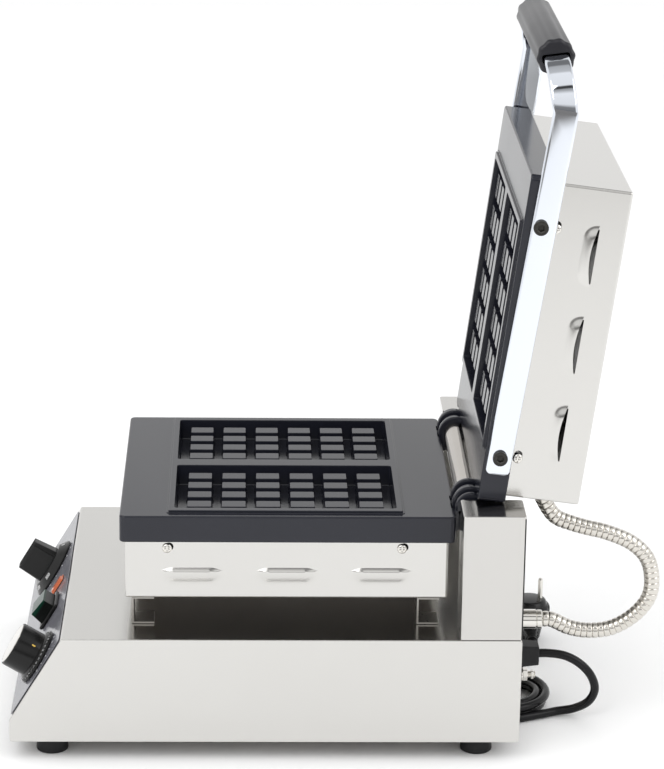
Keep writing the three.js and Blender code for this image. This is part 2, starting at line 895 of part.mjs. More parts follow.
function housing({ back, rows, mouth, height, mouthward, screwRows, screwDepth, holes }) {
  const outline = rounded(rectangle(-housingHalf, housingHalf, housingNear, housingFar), columnFold, 2);
  const skin = prism('z', outline, housingFront, back);
  const hollow = block(
    -housingHalf + housingSheet, housingHalf - housingSheet,
    housingNear + housingSheet, housingFar - housingSheet,
    housingFront - overrun, back - housingSheet,
  );
  const louvres = rows.flatMap((r) => [-1, 1].map((sign) => louvre(sign, r, mouth, height, mouthward)));
  const past = housingHalf + overrun;
  const screwHoles = screwRows.map((r) => (
    rod('x', screwShankRadius + seat, -past, past, screwSides).translate(0, r, screwDepth)
  ));
  const shell = cut(skin, hollow);
  return cut(
    join(shell, ...louvres.map(({ hood }) => hood)),
    ...louvres.map(({ slot }) => slot),
    ...screwHoles,
    ...holes,
  );
}

function makeHousings() {
  const lower = housing({
    back: lowerHousingBack,
    rows: lowerLouvreRows,
    mouth: lowerLouvreMouth,
    height: lowerLouvreHeight,
    mouthward: -1,
    screwRows: lowerScrewRows,
    screwDepth: lowerScrewDepth,
    holes: [],
  });
  add(machine, 'lower_housing', asLower(asGeometry(lower)), stainless);
  const wallEnd = housingNear + housingSheet + overrun;
  const conduitHole = rod('y', connectorTailRadius + seat, housingNear - overrun, wallEnd, smallSides);
  const upper = housing({
    back: lidHousingBack,
    rows: lidLouvreRows,
    mouth: lidLouvreMouth,
    height: lidLouvreHeight,
    mouthward: 1,
    screwRows: lidScrewRows,
    screwDepth: lidScrewDepth,
    holes: [conduitHole.translate(-fittingX, 0, upperConnectorT)],
  });
  add(lid, 'lid_housing', asLid(asGeometry(upper)), stainless);
}

function screwTip() {
  return housingHalf - housingSheet - screwShankLength;
}

function sideScrew(sign) {
  const head = housingHalf + seat;
  const profile = [
    [0, screwTip()],
    [screwShankRadius, screwTip()],
    [screwShankRadius, head],
    [screwHeadRadius, head],
    [screwHeadRadius, head + screwHeadHeight / 2],
    [screwHeadRadius / 2, head + screwHeadHeight],
    [0, head + screwHeadHeight],
  ];
  const screw = turned('x', profile, screwSides);
  return sign > 0 ? screw : screw.rotateZ(Math.PI);
}

function makeHousingScrews() {
  const sides = [['right', 1], ['left', -1]];
  const ends = ['front', 'rear'];
  for (const [sideName, sign] of sides) {
    ends.forEach((end, i) => {
      const lower = add(machine, `lower_screw_${end}_${sideName}`, sideScrew(sign), nickel);
      lower.position.set(0, hingeY - lowerScrewRows[i], hingeZ - lowerScrewDepth);
      const upper = add(lid, `lid_screw_${end}_${sideName}`, sideScrew(sign), nickel);
      upper.position.set(0, lidScrewDepth, lidScrewRows[i]);
    });
  }
}

function makeBrackets() {
  const bottom = baseTop + seat;
  const top = hingeZ - lowerHousingBack - seat;
  const outline = [
    [0, bottom],
    [bracketReach, bottom],
    [bracketReach, bottom + bracketSheet],
    [bracketBend, bottom + bracketSheet],
    [bracketBend, top - bracketSheet],
    [bracketReach, top - bracketSheet],
    [bracketReach, top],
    [0, top],
  ];
  const outer = housingHalf - bracketInset;
  const sides = [['right', outer - bracketLength], ['left', -outer]];
  ['front', 'rear'].forEach((end, i) => {
    for (const [side, x] of sides) {
      const bracket = prism('x', outline, x, x + bracketLength);
      add(machine, `bracket_${end}_${side}`, bracket, galvanised).position.y = hingeY - bracketRows[i];
    }
  });
}

// Heating elements, pressed on the back of each casting by a sheet

function heaterRoute(depth) {
  const bend = heaterBend;
  const half = clampHalf - heaterInset;
  const corners = [
    [heaterTailX, heaterTailR],
    [heaterTailX, heaterNear],
    [half, heaterNear],
    [half, heaterFar],
    [-half, heaterFar],
    [-half, heaterNear],
    [-heaterTailX, heaterNear],
    [-heaterTailX, heaterTailR],
  ];
  const path = new THREE.CurvePath();
  const point = ([x, r]) => new THREE.Vector3(x, r, depth);
  let from = point(corners[0]);
  for (let i = 1; i < corners.length - 1; i += 1) {
    const corner = point(corners[i]);
    const back = point(corners[i - 1]).sub(corner).setLength(bend).add(corner);
    const ahead = point(corners[i + 1]).sub(corner).setLength(bend).add(corner);
    path.add(new THREE.LineCurve3(from, back));
    path.add(new THREE.QuadraticBezierCurve3(back, corner, ahead));
    from = ahead;
  }
  path.add(new THREE.LineCurve3(from, point(corners.at(-1))));
  return path;
}

function heater() {
  const path = heaterRoute(plateBack + seat + heaterRadius);
  const points = path.curves.flatMap((curve, i) => (
    curve.getPoints(i % 2 ? arcSteps : 1).slice(i ? 1 : 0)
  ));
  return tubeAlong(points, heaterRadius, 6);
}

function heaterClamp() {
  const near = plateBack + 2 * seat + 2 * heaterRadius;
  const outline = rounded(rectangle(-clampHalf, clampHalf, clampNear, clampFar), clampCorner, 2);
  return prism('z', outline, near, near + clampSheet);
}

function makeHeaters() {
  add(machine, 'lower_heater', asLower(asGeometry(heater())), galvanised);
  add(lid, 'lid_heater', asLid(asGeometry(heater())), galvanised);
  add(machine, 'lower_heater_clamp', asLower(asGeometry(heaterClamp())), galvanised);
  add(lid, 'lid_heater_clamp', asLid(asGeometry(heaterClamp())), galvanised);
  const depth = plateBack + 3 * seat + 2 * heaterRadius + clampSheet + probeRadius;
  const middle = (clampNear + clampFar) / 2;
  const probe = rod('y', probeRadius, middle - probeLength / 2, middle + probeLength / 2, boltSides);
  add(machine, 'thermostat_probe', asLower(asGeometry(probe.translate(0, 0, depth))), brass);
}

// Handle

function barInner() {
  return plateHalf + seat;
}

function barMiddle() {
  return barInner() + barThickness / 2;
}

// Section of the bar round a place: across is the wide direction, through the thin one.
function barRing(place, across, through, width = barWidth) {
  const [w, h] = [width / 2, barThickness / 2];
  const [e, f] = [Math.min(barEdge, w / 2), barEdge];
  const corners = [
    [w, h - f], [w - e, h], [e - w, h], [-w, h - f],
    [-w, f - h], [e - w, -h], [w - e, -h], [w, f - h],
  ];
  return corners.map(([a, b]) => place.clone().addScaledVector(across, a).addScaledVector(through, b));
}

function gripPlace() {
  const tilt = THREE.MathUtils.degToRad(barTiltDegrees);
  return new THREE.Vector3(
    0,
    barStraightT - barCornerRadius * Math.sin(tilt),
    barStraightEnd + barCornerRadius * Math.cos(tilt),
  );
}

function barTop() {
  const tilt = THREE.MathUtils.degToRad(barTiltDegrees);
  return {
    up: new THREE.Vector3(0, -Math.sin(tilt), Math.cos(tilt)),
    across: new THREE.Vector3(0, Math.cos(tilt), Math.sin(tilt)),
  };
}

function makeHandle() {
  const { up, across } = barTop();
  const rings = [];
  const lean = (barStraightT - barLowT) / (barStraightEnd - barLowEnd);
  const steps = 5;
  const half = barWidth / 2;
  for (let i = 0; i <= steps; i += 1) {
    const angle = Math.PI / 2 * (1 - i / steps) * (1 - 1 / (4 * steps));
    const r = barLowEnd + half - half * Math.sin(angle);
    const t = barLowT + lean * (r - barLowEnd);
    rings.push(barRing(new THREE.Vector3(barMiddle(), t, r), axisY, axisX, barWidth * Math.cos(angle)));
  }
  const bendStart = barStraightEnd - barWidth;
  rings.push(barRing(
    new THREE.Vector3(barMiddle(), barLowT + lean * (bendStart - barLowEnd), bendStart), axisY, axisX,
  ));
  const cornerSteps = 8;
  for (let i = 0; i <= cornerSteps; i += 1) {
    const angle = Math.PI / 2 * i / cornerSteps;
    const turn = Math.min(1, (i + 1) / 2);
    const wide = axisY.clone().lerp(across, turn).normalize();
    const x = barMiddle() - barCornerRadius * (1 - Math.cos(angle));
    const place = new THREE.Vector3(x, barStraightT, barStraightEnd)
      .addScaledVector(up, barCornerRadius * Math.sin(angle));
    const out = axisX.clone().multiplyScalar(Math.cos(angle)).addScaledVector(up, Math.sin(angle));
    rings.push(barRing(place, wide, out));
  }
  const mirror = rings.slice().reverse().map((ring) => (
    ring.map((point) => new THREE.Vector3(-point.x, point.y, point.z))
  ));
  const bar = loft([...rings, ...mirror]);
  const past = barInner() + barThickness + overrun;
  const holes = boltRows.map((r, i) => (
    rod('x', boltShankRadius + seat, -past, past, boltSides).translate(0, boltTs[i], r)
  ));
  add(lid, 'handle_bar', cut(bar, ...holes), chrome);
  makeGrip(up, across);
}

function gripRing(x, radius, scale) {
  const sides = gripLobes * 4;
  return Array.from({ length: sides }, (_, k) => {
    const angle = 2 * Math.PI * k / sides;
    const reach = scale * (radius - gripFlute * (1 - Math.cos(gripLobes * angle)) / 2);
    return new THREE.Vector3(x, reach * Math.cos(angle), reach * Math.sin(angle));
  });
}

function makeGrip(up, across) {
  const place = gripPlace();
  const gripHalf = barMiddle() - barCornerRadius - seat;
  const endScale = 1 - gripEndRound / gripRadius;
  const body = loft([
    gripRing(-gripHalf, gripRadius, endScale),
    gripRing(-gripHalf + gripEndRound, gripRadius, 1),
    gripRing(gripHalf - gripEndRound, gripRadius, 1),
    gripRing(gripHalf, gripRadius, endScale),
  ]).translate(place.x, place.y, place.z);
  const slot = block(
    -gripHalf - overrun, gripHalf + overrun,
    -barWidth / 2 - seat, barWidth / 2 + seat,
    -barThickness / 2 - seat, barThickness / 2 + seat,
  );
  slot.applyMatrix4(new THREE.Matrix4().makeBasis(axisX, across, up).setPosition(place));
  add(lid, 'handle_grip', cut(body, slot), bakelite);
}

function handleBolt(sign) {
  const face = barInner() + barThickness + seat;
  const profile = [
    [0, face - seat - boltShankLength],
    [boltShankRadius, face - seat - boltShankLength],
    [boltShankRadius, face],
    [boltHeadRadius, face],
    [boltHeadRadius, face + boltHeadHeight - barEdge],
    [boltHeadRadius - barEdge, face + boltHeadHeight],
    [boltSocketRadius, face + boltHeadHeight],
    [boltSocketRadius, face + boltHeadHeight - boltSocketDepth],
    [0, face + boltHeadHeight - boltSocketDepth],
  ];
  const bolt = turned('x', profile, boltSides);
  return sign > 0 ? bolt : bolt.rotateZ(Math.PI);
}

function makeHandleBolts() {
  const ends = ['rear', 'front'];
  for (const [sideName, sign] of [['right', 1], ['left', -1]]) {
    ends.forEach((end, i) => {
      const bolt = add(lid, `handle_bolt_${end}_${sideName}`, handleBolt(sign), blackSteel);
      bolt.position.set(0, boltTs[i], boltRows[i]);
    });
  }
}

// Controls

function makeLabel() {
  const half = baseHalf - labelInset;
  const outline = rounded(rectangle(-half, half, labelLow, labelHigh), labelCorner);
  const plate = prism('z', outline, seat, seat + labelSheet);
  add(controls, 'control_panel', cut(plate, ...slopeCuts()), labelGrey);
}

function controlCase(lengthX, lengthS, depth) {
  const top = -baseSheet - seat;
  const outline = rounded(rectangle(-lengthX / 2, lengthX / 2, -lengthS / 2, lengthS / 2), labelCorner, 2);
  const spindle = rod('z', spindleRadius, top - seat - overrun, spindleTop, boltSides);
  return join(prism('z', outline, top - depth, top), spindle);
}

function spindleBore() {
  return rod('z', spindleRadius + seat, 0, spindleTop + seat, boltSides);
}

function makeThermostat() {
  const body = controlCase(thermostatCaseX, thermostatCaseS, thermostatCaseDepth);
  add(controls, 'thermostat', body, galvanised).position.set(thermostatX, thermostatS, 0);
  const skirt = turned('z', [
    [0, knobLift],
    [thermostatSkirt, knobLift],
    [thermostatSkirt, knobLift + skirtEdge],
    [thermostatShoulder, thermostatSkirtTop],
    [0, thermostatSkirtTop],
  ]);
  const bar = (grow) => rounded(rectangle(
    -thermostatBarWidth / 2 - grow, thermostatBarWidth / 2 + grow,
    -thermostatBarLength / 2 - grow, thermostatBarLength / 2 + grow,
  ), thermostatBarWidth / 4, 3);
  const grip = loft([
    bar(thermostatBarTaper).map(([x, y]) => new THREE.Vector3(x, y, knobLift + skirtEdge)),
    bar(0).map(([x, y]) => new THREE.Vector3(x, y, thermostatTop - thermostatBarTaper)),
    bar(-thermostatBarTaper).map(([x, y]) => new THREE.Vector3(x, y, thermostatTop)),
  ]);
  const knob = cut(join(skirt, grip), spindleBore());
  add(controls, 'thermostat_knob', knob, knobPlastic).position.set(thermostatX, thermostatS, 0);
}

function makeTimer() {
  const body = controlCase(timerCaseX, timerCaseS, timerCaseDepth);
  add(controls, 'timer', body, galvanised).position.set(timerX, timerS, 0);
  const capFloor = timerTop - timerCapRecess;
  const knob = turned('z', [
    [0, knobLift],
    [timerSkirt, knobLift],
    [timerSkirt, knobLift + skirtEdge],
    [timerShoulder, timerSkirtTop],
    [timerBody, timerSkirtTop],
    [timerBody - skirtEdge / 2, timerTop - skirtEdge],
    [timerBody - skirtEdge, timerTop],
    [timerCapRadius + seat, timerTop],
    [timerCapRadius + seat, capFloor],
    [0, capFloor],
  ]);
  add(controls, 'timer_knob', cut(knob, spindleBore()), knobPlastic).position.set(timerX, timerS, 0);
  const cap = turned('z', [
    [0, capFloor + seat],
    [timerCapRadius, capFloor + seat],
    [timerCapRadius, capFloor + timerCapHeight - timerCapRecess / 2],
    [timerCapRadius - timerCapRecess, capFloor + timerCapHeight],
    [0, capFloor + timerCapHeight],
  ]);
  add(controls, 'timer_cap', cap, nickel).position.set(timerX, timerS, 0);
}

function makeSwitch() {
  const face = seat + labelSheet + seat;
  const [x0, x1, s0, s1] = switchCut(0);
  const bezelOutline = rounded(rectangle(
    switchX - switchLength / 2, switchX + switchLength / 2,
    switchS - switchWidth / 2, switchS + switchWidth / 2,
  ), bezelWall / 2, 2);
  const bezel = bevelled(bezelOutline, face, face + bezelHeight, bezelWall / 4);
  const body = block(x0, x1, s0, s1, -switchCaseDepth, face + bezelHeight / 2);
  const pocket = block(
    x0 + bezelWall - switchCaseInset, x1 - bezelWall + switchCaseInset,
    s0 + bezelWall - switchCaseInset, s1 - bezelWall + switchCaseInset,
    -rockerPivotDepth - rockerDepth - rockerRise, face + bezelHeight + overrun,
  );
  add(controls, 'switch_body', cut(join(bezel, body), pocket), knobPlastic);
  const width = (x1 - x0) / 2 - bezelWall + switchCaseInset - 2 * seat;
  const rocker = prism('x', rockerOutline((s1 - s0) / 2 - bezelWall + switchCaseInset - seat), -width, width);
  const mesh = add(controls, 'power_switch', rocker, green);
  mesh.position.set(switchX, switchS, -rockerPivotDepth);
  mesh.rotation.x = -THREE.MathUtils.degToRad(rockerTravelDegrees / 2);
}

// Ends drawn in toward the top, so that they clear the pocket at either end of the travel.
function rockerOutline(reach) {
  const tilt = THREE.MathUtils.degToRad(rockerTravelDegrees / 2);
  const face = 2 * seat + labelSheet + bezelHeight + rockerPivotDepth;
  const ends = face + rockerRise;
  const top = (reach - ends * Math.sin(tilt)) / Math.cos(tilt);
  return [
    [-reach / 2, -rockerDepth],
    [reach / 2, -rockerDepth],
    [reach, 0],
    [top, ends],
    [top / 2, face + rockerRise / 2],
    [0, face + rockerRise / 3],
    [-top / 2, face + rockerRise / 2],
    [-top, ends],
    [-reach, 0],
  ];
}

function makeLamp() {
  const face = seat + labelSheet + seat;
  const [x0, x1, s0, s1] = lampCut(0);
  const body = block(x0, x1, s0, s1, -lampCaseDepth, face + lampFlangeHeight / 2);
  const flange = block(
    x0 - lampFlange, x1 + lampFlange, s0 - lampFlange, s1 + lampFlange, face, face + lampFlangeHeight,
  );
  const lens = bevelled(rectangle(x0, x1, s0, s1), face, face + lampHeight, lampFlangeHeight / 2);
  add(controls, 'indicator_lamp', join(body, flange, lens), orange);
}

// Rear wall fittings and the conduit

function makeConnectors() {
  const outer = baseRear + seat;
  const profile = [
    [connectorBore, -connectorTail],
    [connectorTailRadius, -connectorTail],
    [connectorTailRadius, 0],
    [connectorFlange, 0],
    [connectorFlange, connectorFlangeLength],
    [connectorBody, connectorFlangeLength],
    [connectorBody, connectorLength],
    [connectorBore, connectorLength],
    [connectorBore, -connectorTail],
  ];
  add(machine, 'conduit_connector_base', turned('y', profile, smallSides), nickel)
    .position.set(fittingX, outer, conduitZ);
  const upper = [
    [connectorBore, 0],
    [connectorFlange, 0],
    [connectorFlange, upperConnectorFlange],
    [connectorTailRadius, upperConnectorFlange],
    [connectorTailRadius, upperConnectorInside],
    [connectorBore, upperConnectorInside],
    [connectorBore, 0],
  ];
  add(lid, 'conduit_connector_lid', turned('z', upper, smallSides), nickel)
    .position.set(fittingX, upperConnectorT, housingNear - seat - upperConnectorFlange);
}

function conduitRoute() {
  const lower = new THREE.Vector3(fittingX, baseRear + connectorLength + 2 * seat, conduitZ);
  const tube = 2 * conduitRadius;
  const entry = new THREE.Vector3(fittingX, upperConnectorT, housingNear - 2 * seat - upperConnectorFlange);
  const upper = entry.clone().applyMatrix4(lid.matrix);
  const upperStraight = entry.clone().setZ(entry.z - tube).applyMatrix4(lid.matrix);
  return { lower, tube, upper, upperStraight };
}

// Places of the free conduit: distance behind the base and height
const conduitSwing = [
  [56, 87.2],
  [80, 88],
  [102, 101],
  [113.5, 124],
  [110.5, 147],
  [94.5, 163.5],
  [71, 171.5],
  [45, 175.5],
  [25, 183],
];

function conduitCurve() {
  const { lower, tube, upper, upperStraight } = conduitRoute();
  const middle = conduitSwing.map(([y, z]) => new THREE.Vector3(fittingX, baseRear + y, z));
  const points = [
    lower,
    lower.clone().setY(lower.y + tube),
    ...middle,
    upperStraight,
    upper,
  ];
  return new THREE.CatmullRomCurve3(points, false, 'centripetal');
}

// Crest and valley rings outside, a plainer bore inside, closed by a ring face at each end.
function ribbedConduit() {
  const curve = conduitCurve();
  const ribs = Math.round(curve.getLength() / conduitPitch);
  const outerFrames = carriedFrames(curve.getSpacedPoints(2 * ribs));
  const outer = outerFrames.map((frame, i) => (
    ringAt(frame, i % 2 ? conduitRadius : conduitValley, conduitSides)
  ));
  const bore = outerFrames
    .filter((_, i) => i % (2 * boreEvery) === 0 || i === outerFrames.length - 1)
    .map((frame) => ringAt(frame, conduitBore, conduitSides));
  const rings = [...outer, ...bore.reverse()];
  const positions = rings.flat().flatMap((point) => point.toArray());
  const index = [];
  for (let ring = 0; ring < rings.length; ring += 1) {
    for (let side = 0; side < conduitSides; side += 1) {
      const next = (ring + 1) % rings.length * conduitSides;
      const a = ring * conduitSides + side;
      const b = ring * conduitSides + (side + 1) % conduitSides;
      const c = next + (side + 1) % conduitSides;
      const d = next + side;
      index.push(a, b, c, a, c, d);
    }
  }
  const geometry = new THREE.BufferGeometry();
  geometry.setAttribute('position', new THREE.Float32BufferAttribute(positions, 3));
  geometry.setIndex(index);
  return geometry;
}

function makeGland() {
  const section = (grow, y) => rounded(rectangle(
    -glandHalfX + grow, glandHalfX - grow, -glandHalfZ + grow, glandHalfZ - grow,
  ), glandStep, 2).map(([x, z]) => new THREE.Vector3(x, y, z));
  const body = loft([
    section(0, 0),
    section(0, glandStepLength),
    section(glandTaper / 2, glandStepLength + glandStep),
    section(glandTaper, glandLength),
  ]);
  const tail = rod('y', glandTailRadius, -glandTail, glandStep, smallSides);
  add(machine, 'cord_gland', join(body, tail), rubber).position.set(fittingX, baseRear + seat, glandZ);
}

function makeEarthTerminal() {
  const profile = [
    [0, -studTail],
    [studRadius, -studTail],
    [studRadius, 0],
    [studWasher, 0],
    [studWasher, studWasherHeight],
    [studNut, studWasherHeight],
    [studNut, studWasherHeight + studNutHeight],
    [studRadius, studWasherHeight + studNutHeight],
    [studRadius, studLength],
    [0, studLength],
  ];
  add(machine, 'earth_terminal', turned('y', profile, boltSides), nickel)
    .position.set(fittingX, baseRear + seat, studZ);
}

// Power cord: free stretch, two piled layers of loops, tail and plug

function coilPoint(turn) {
  const reverse = coilTurns / 2;
  const radius = coilRadius - coilPitch * (reverse - Math.abs(turn - reverse));
  const angle = THREE.MathUtils.degToRad(coilStartDegrees) - 2 * Math.PI * turn;
  const climb = THREE.MathUtils.smoothstep(turn, reverse - 1 / 4, reverse + 1 / 4);
  return new THREE.Vector3(
    coilX + radius * Math.cos(angle),
    baseRear + coilY + radius * Math.sin(angle),
    coilRest + coilPitch * climb,
  );
}

function coilPoints() {
  const count = Math.round(coilTurns * coilSteps);
  return Array.from({ length: count + 1 }, (_, i) => coilPoint(coilTurns * i / count));
}

// Least distance between two runs of the coil that lie at least half a turn apart, less one cord.
function leastGap(points) {
  let least = Infinity;
  for (let i = 0; i < points.length; i += 1) {
    for (let k = i + coilSteps / 2; k < points.length - 1; k += 1) {
      const line = new THREE.Line3(points[k], points[k + 1]);
      const near = line.closestPointToPoint(points[i], true, new THREE.Vector3());
      least = Math.min(least, near.distanceTo(points[i]));
    }
  }
  return least - 2 * cordRadius;
}

// The end of a run and two places past it: over the seat, and one cord further.
function pastEnd(end, before) {
  const onward = end.clone().sub(before).normalize();
  const diameter = 2 * cordRadius;
  const distances = [diameter, diameter + seat, 2 * diameter + seat];
  return distances.map((far) => end.clone().addScaledVector(onward, far));
}

function makeCord() {
  const loops = coilPoints();
  console.log(`coil: least gap ${leastGap(loops).toFixed(2)} mm`);
  const [start, cordEnd, cordEndBefore] = pastEnd(loops[0], loops[1]);
  const [end, tailStart, tailStartAfter] = pastEnd(loops.at(-1), loops.at(-2));
  add(machine, 'cord_coil', tubeAlong([start, ...loops, end], cordRadius, coilSides), cordBlack);
  const diameter = 2 * cordRadius;
  const gland = new THREE.Vector3(fittingX, baseRear + seat + glandLength + seat, glandZ);
  const glandAfter = gland.clone().setY(gland.y + diameter);
  const reliefX = plugX + plugRadius + plugReliefLength + seat;
  const relief = new THREE.Vector3(reliefX, baseRear + plugY, plugEntryZ);
  const reliefBefore = relief.clone().setX(relief.x + diameter);
  add(machine, 'power_cord', cordAlong(gland, glandAfter, cordRoute, cordEndBefore, cordEnd), cordBlack);
  add(machine, 'cord_tail', cordAlong(tailStart, tailStartAfter, tailRoute, reliefBefore, relief), cordBlack);
}

function makePlug() {
  const y = baseRear + plugY;
  const body = turned('z', [
    [0, 0],
    [plugBackRadius, 0],
    [plugRadius, plugEntryZ],
    [plugRadius, plugHeight - plugFaceEdge],
    [plugRadius - plugFaceEdge, plugHeight],
    [0, plugHeight],
  ], middleSides);
  const relief = turned('x', [
    [0, 0],
    [plugReliefRoot, 0],
    [plugReliefRoot, plugRadius],
    [plugReliefTip, plugRadius + plugReliefLength],
    [0, plugRadius + plugReliefLength],
  ], boltSides).translate(0, 0, plugEntryZ);
  const socketFloor = plugHeight - pinSocket - seat;
  const sockets = [-1, 1].map((sign) => (
    rod('z', pinRadius + seat, socketFloor, plugHeight + overrun, boltSides)
      .translate(0, sign * pinSpacing / 2, 0)
  ));
  add(machine, 'plug', cut(join(body, relief), ...sockets), cordBlack).position.set(plugX, y, 0);
  const pin = () => turned('z', [
    [0, plugHeight - pinSocket],
    [pinRadius, plugHeight - pinSocket],
    [pinRadius, plugHeight + pinLength - pinTip],
    [pinRadius - pinTip, plugHeight + pinLength],
    [0, plugHeight + pinLength],
  ], boltSides);
  add(machine, 'plug_pin_front', pin(), nickel).position.set(plugX, y - pinSpacing / 2, 0);
  add(machine, 'plug_pin_rear', pin(), nickel).position.set(plugX, y + pinSpacing / 2, 0);
}

makeBase();
makeFloor();
makeFeet();
makeTerminalBlock();
makeColumn('column_right', 1);
makeColumn('column_left', -1);
makeHinge();
makeCastings();
makeHousings();
makeHousingScrews();
makeBrackets();
makeHeaters();
makeHandle();
makeHandleBolts();
makeLabel();
makeThermostat();
makeTimer();
makeSwitch();
makeLamp();
makeConnectors();
add(machine, 'conduit', ribbedConduit(), conduitSteel);
makeGland();
makeEarthTerminal();
makeCord();
makePlug();

// The origin is under the middle of the machine without its cord.
const cordNames = ['power_cord', 'cord_coil', 'cord_tail', 'plug', 'plug_pin_front', 'plug_pin_rear'];
const group = new THREE.Group();
group.add(machine);
group.updateMatrixWorld(true);
const extent = new THREE.Box3();
machine.traverse((mesh) => {
  if (mesh.isMesh && !cordNames.includes(mesh.name)) extent.expandByObject(mesh, true);
});
const middle = extent.getCenter(new THREE.Vector3());
machine.position.set(-middle.x, -middle.y, 0);

export default group;
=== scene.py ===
# Belgian waffle maker: grid castings, sheet housings with louvres, handle, controls, conduit and cord.
import json
import math

import bmesh
import bpy
from mathutils import Matrix, Vector
from mathutils.geometry import tessellate_polygon


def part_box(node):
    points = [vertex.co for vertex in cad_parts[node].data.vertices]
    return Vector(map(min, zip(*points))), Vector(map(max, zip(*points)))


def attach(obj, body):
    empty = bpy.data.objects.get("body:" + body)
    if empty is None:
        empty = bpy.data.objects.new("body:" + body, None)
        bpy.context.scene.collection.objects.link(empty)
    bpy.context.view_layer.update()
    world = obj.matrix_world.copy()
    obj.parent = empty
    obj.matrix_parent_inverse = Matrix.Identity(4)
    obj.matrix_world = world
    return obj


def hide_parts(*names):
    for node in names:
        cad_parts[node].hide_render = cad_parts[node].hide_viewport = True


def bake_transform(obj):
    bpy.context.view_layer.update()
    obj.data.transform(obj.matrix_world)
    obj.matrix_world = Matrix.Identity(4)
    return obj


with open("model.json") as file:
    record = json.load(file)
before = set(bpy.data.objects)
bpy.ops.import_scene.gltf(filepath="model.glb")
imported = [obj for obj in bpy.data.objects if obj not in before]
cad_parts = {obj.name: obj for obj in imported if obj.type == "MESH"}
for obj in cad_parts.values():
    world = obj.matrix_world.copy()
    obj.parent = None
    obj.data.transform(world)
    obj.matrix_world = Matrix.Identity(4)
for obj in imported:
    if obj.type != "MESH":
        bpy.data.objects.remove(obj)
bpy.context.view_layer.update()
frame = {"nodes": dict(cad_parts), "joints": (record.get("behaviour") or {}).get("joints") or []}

MM = 0.001
HALF_TURN = math.pi
QUARTER_TURN = math.pi / 2
FULL_TURN = 2 * math.pi
scene = bpy.context.scene
scene.view_settings.view_transform = "Standard"

BASE = "machine_base"
LID = "lid"
THERMOSTAT = "thermostat_dial"
TIMER = "timer_dial"
ROCKER = "rocker"

base_low, base_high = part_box("base_shell")
BASE_MIDDLE_Y = (base_low.y + base_high.y) / 2
BASE_REAR_Y = base_high.y
JOINTS = {joint["name"]: joint for joint in frame["joints"]}
HINGE = Vector(JOINTS["lid_hinge"]["pos_m"])
LID_TILT = math.radians(7.3)
SLOPE_FOOT_Z = 34.4 * MM
SLOPE_RUN = 42.6 * MM
SLOPE_ANGLE = math.atan2(base_high.z - SLOPE_FOOT_Z, SLOPE_RUN)

still = Matrix.Identity(4)
along_x = Matrix.Rotation(QUARTER_TURN, 4, "Y")
along_y = Matrix.Rotation(-QUARTER_TURN, 4, "X")

# Lid directions: x across, y behind the parting plane, z up the lid
lid_place = Matrix.Translation(HINGE) @ Matrix.Rotation(-LID_TILT, 4, "X")

# Grid directions: x across, y away from the hinge, z into the casting from the parting plane
lower_grid = Matrix.Translation(HINGE) @ Matrix.Rotation(HALF_TURN, 4, "X")
lid_grid = lid_place @ Matrix.Rotation(HALF_TURN, 4, "Z") @ Matrix.Rotation(QUARTER_TURN, 4, "X")

# Slope directions: x across, y up the slope, z out of it
slope_place = Matrix.Translation((0, base_low.y, SLOPE_FOOT_Z)) @ Matrix.Rotation(SLOPE_ANGLE, 4, "X")
thermostat_place = slope_place @ Matrix.Translation((-79 * MM, 46.8 * MM, 0))
timer_place = slope_place @ Matrix.Translation((116 * MM, 44.5 * MM, 0))


# Camera at the photograph's viewing angle

IMAGE_HEIGHT_PX = 769
FOCAL_PX = 2975.8
SENSOR = 36
CAMERA_FROM_BASE = Vector((2360.3, -19.6, 1023.3)) * MM
CAMERA_YAW = math.radians(-1.81)
CAMERA_PITCH = math.radians(17.68)
CAMERA_ROLL = math.radians(0.84)


def make_camera():
    forward = Vector((
        -math.cos(CAMERA_YAW) * math.cos(CAMERA_PITCH),
        -math.sin(CAMERA_YAW) * math.cos(CAMERA_PITCH),
        -math.sin(CAMERA_PITCH),
    ))
    level = forward.cross(Vector((0, 0, 1))).normalized()
    upright = level.cross(forward)
    right = math.cos(CAMERA_ROLL) * level + math.sin(CAMERA_ROLL) * upright
    up = math.cos(CAMERA_ROLL) * upright - math.sin(CAMERA_ROLL) * level
    data = bpy.data.cameras.new("photo_camera")
    data.sensor_width = SENSOR
    data.lens = FOCAL_PX * SENSOR / IMAGE_HEIGHT_PX
    data.clip_end = 20
    camera = bpy.data.objects.new("photo_camera", data)
    turn = Matrix((right, up, -forward)).transposed().to_4x4()
    camera.matrix_world = Matrix.Translation(CAMERA_FROM_BASE + Vector((0, BASE_MIDDLE_Y, 0))) @ turn
    scene.collection.objects.link(camera)
    scene.camera = camera


# Meshes: flat outlines and heights are in millimetres, finished points in metres

def new_object(name, mesh):
    piece = bpy.data.objects.new(name, mesh)
    scene.collection.objects.link(piece)
    return piece


def smooth(mesh, angle=32):
    mesh.shade_smooth()
    mesh.set_sharp_from_angle(angle=math.radians(angle))


def face_outward(mesh):
    shape = bmesh.new()
    shape.from_mesh(mesh)
    bmesh.ops.remove_doubles(shape, verts=shape.verts, dist=1e-7)
    bmesh.ops.recalc_face_normals(shape, faces=shape.faces)
    shape.to_mesh(mesh)
    shape.free()


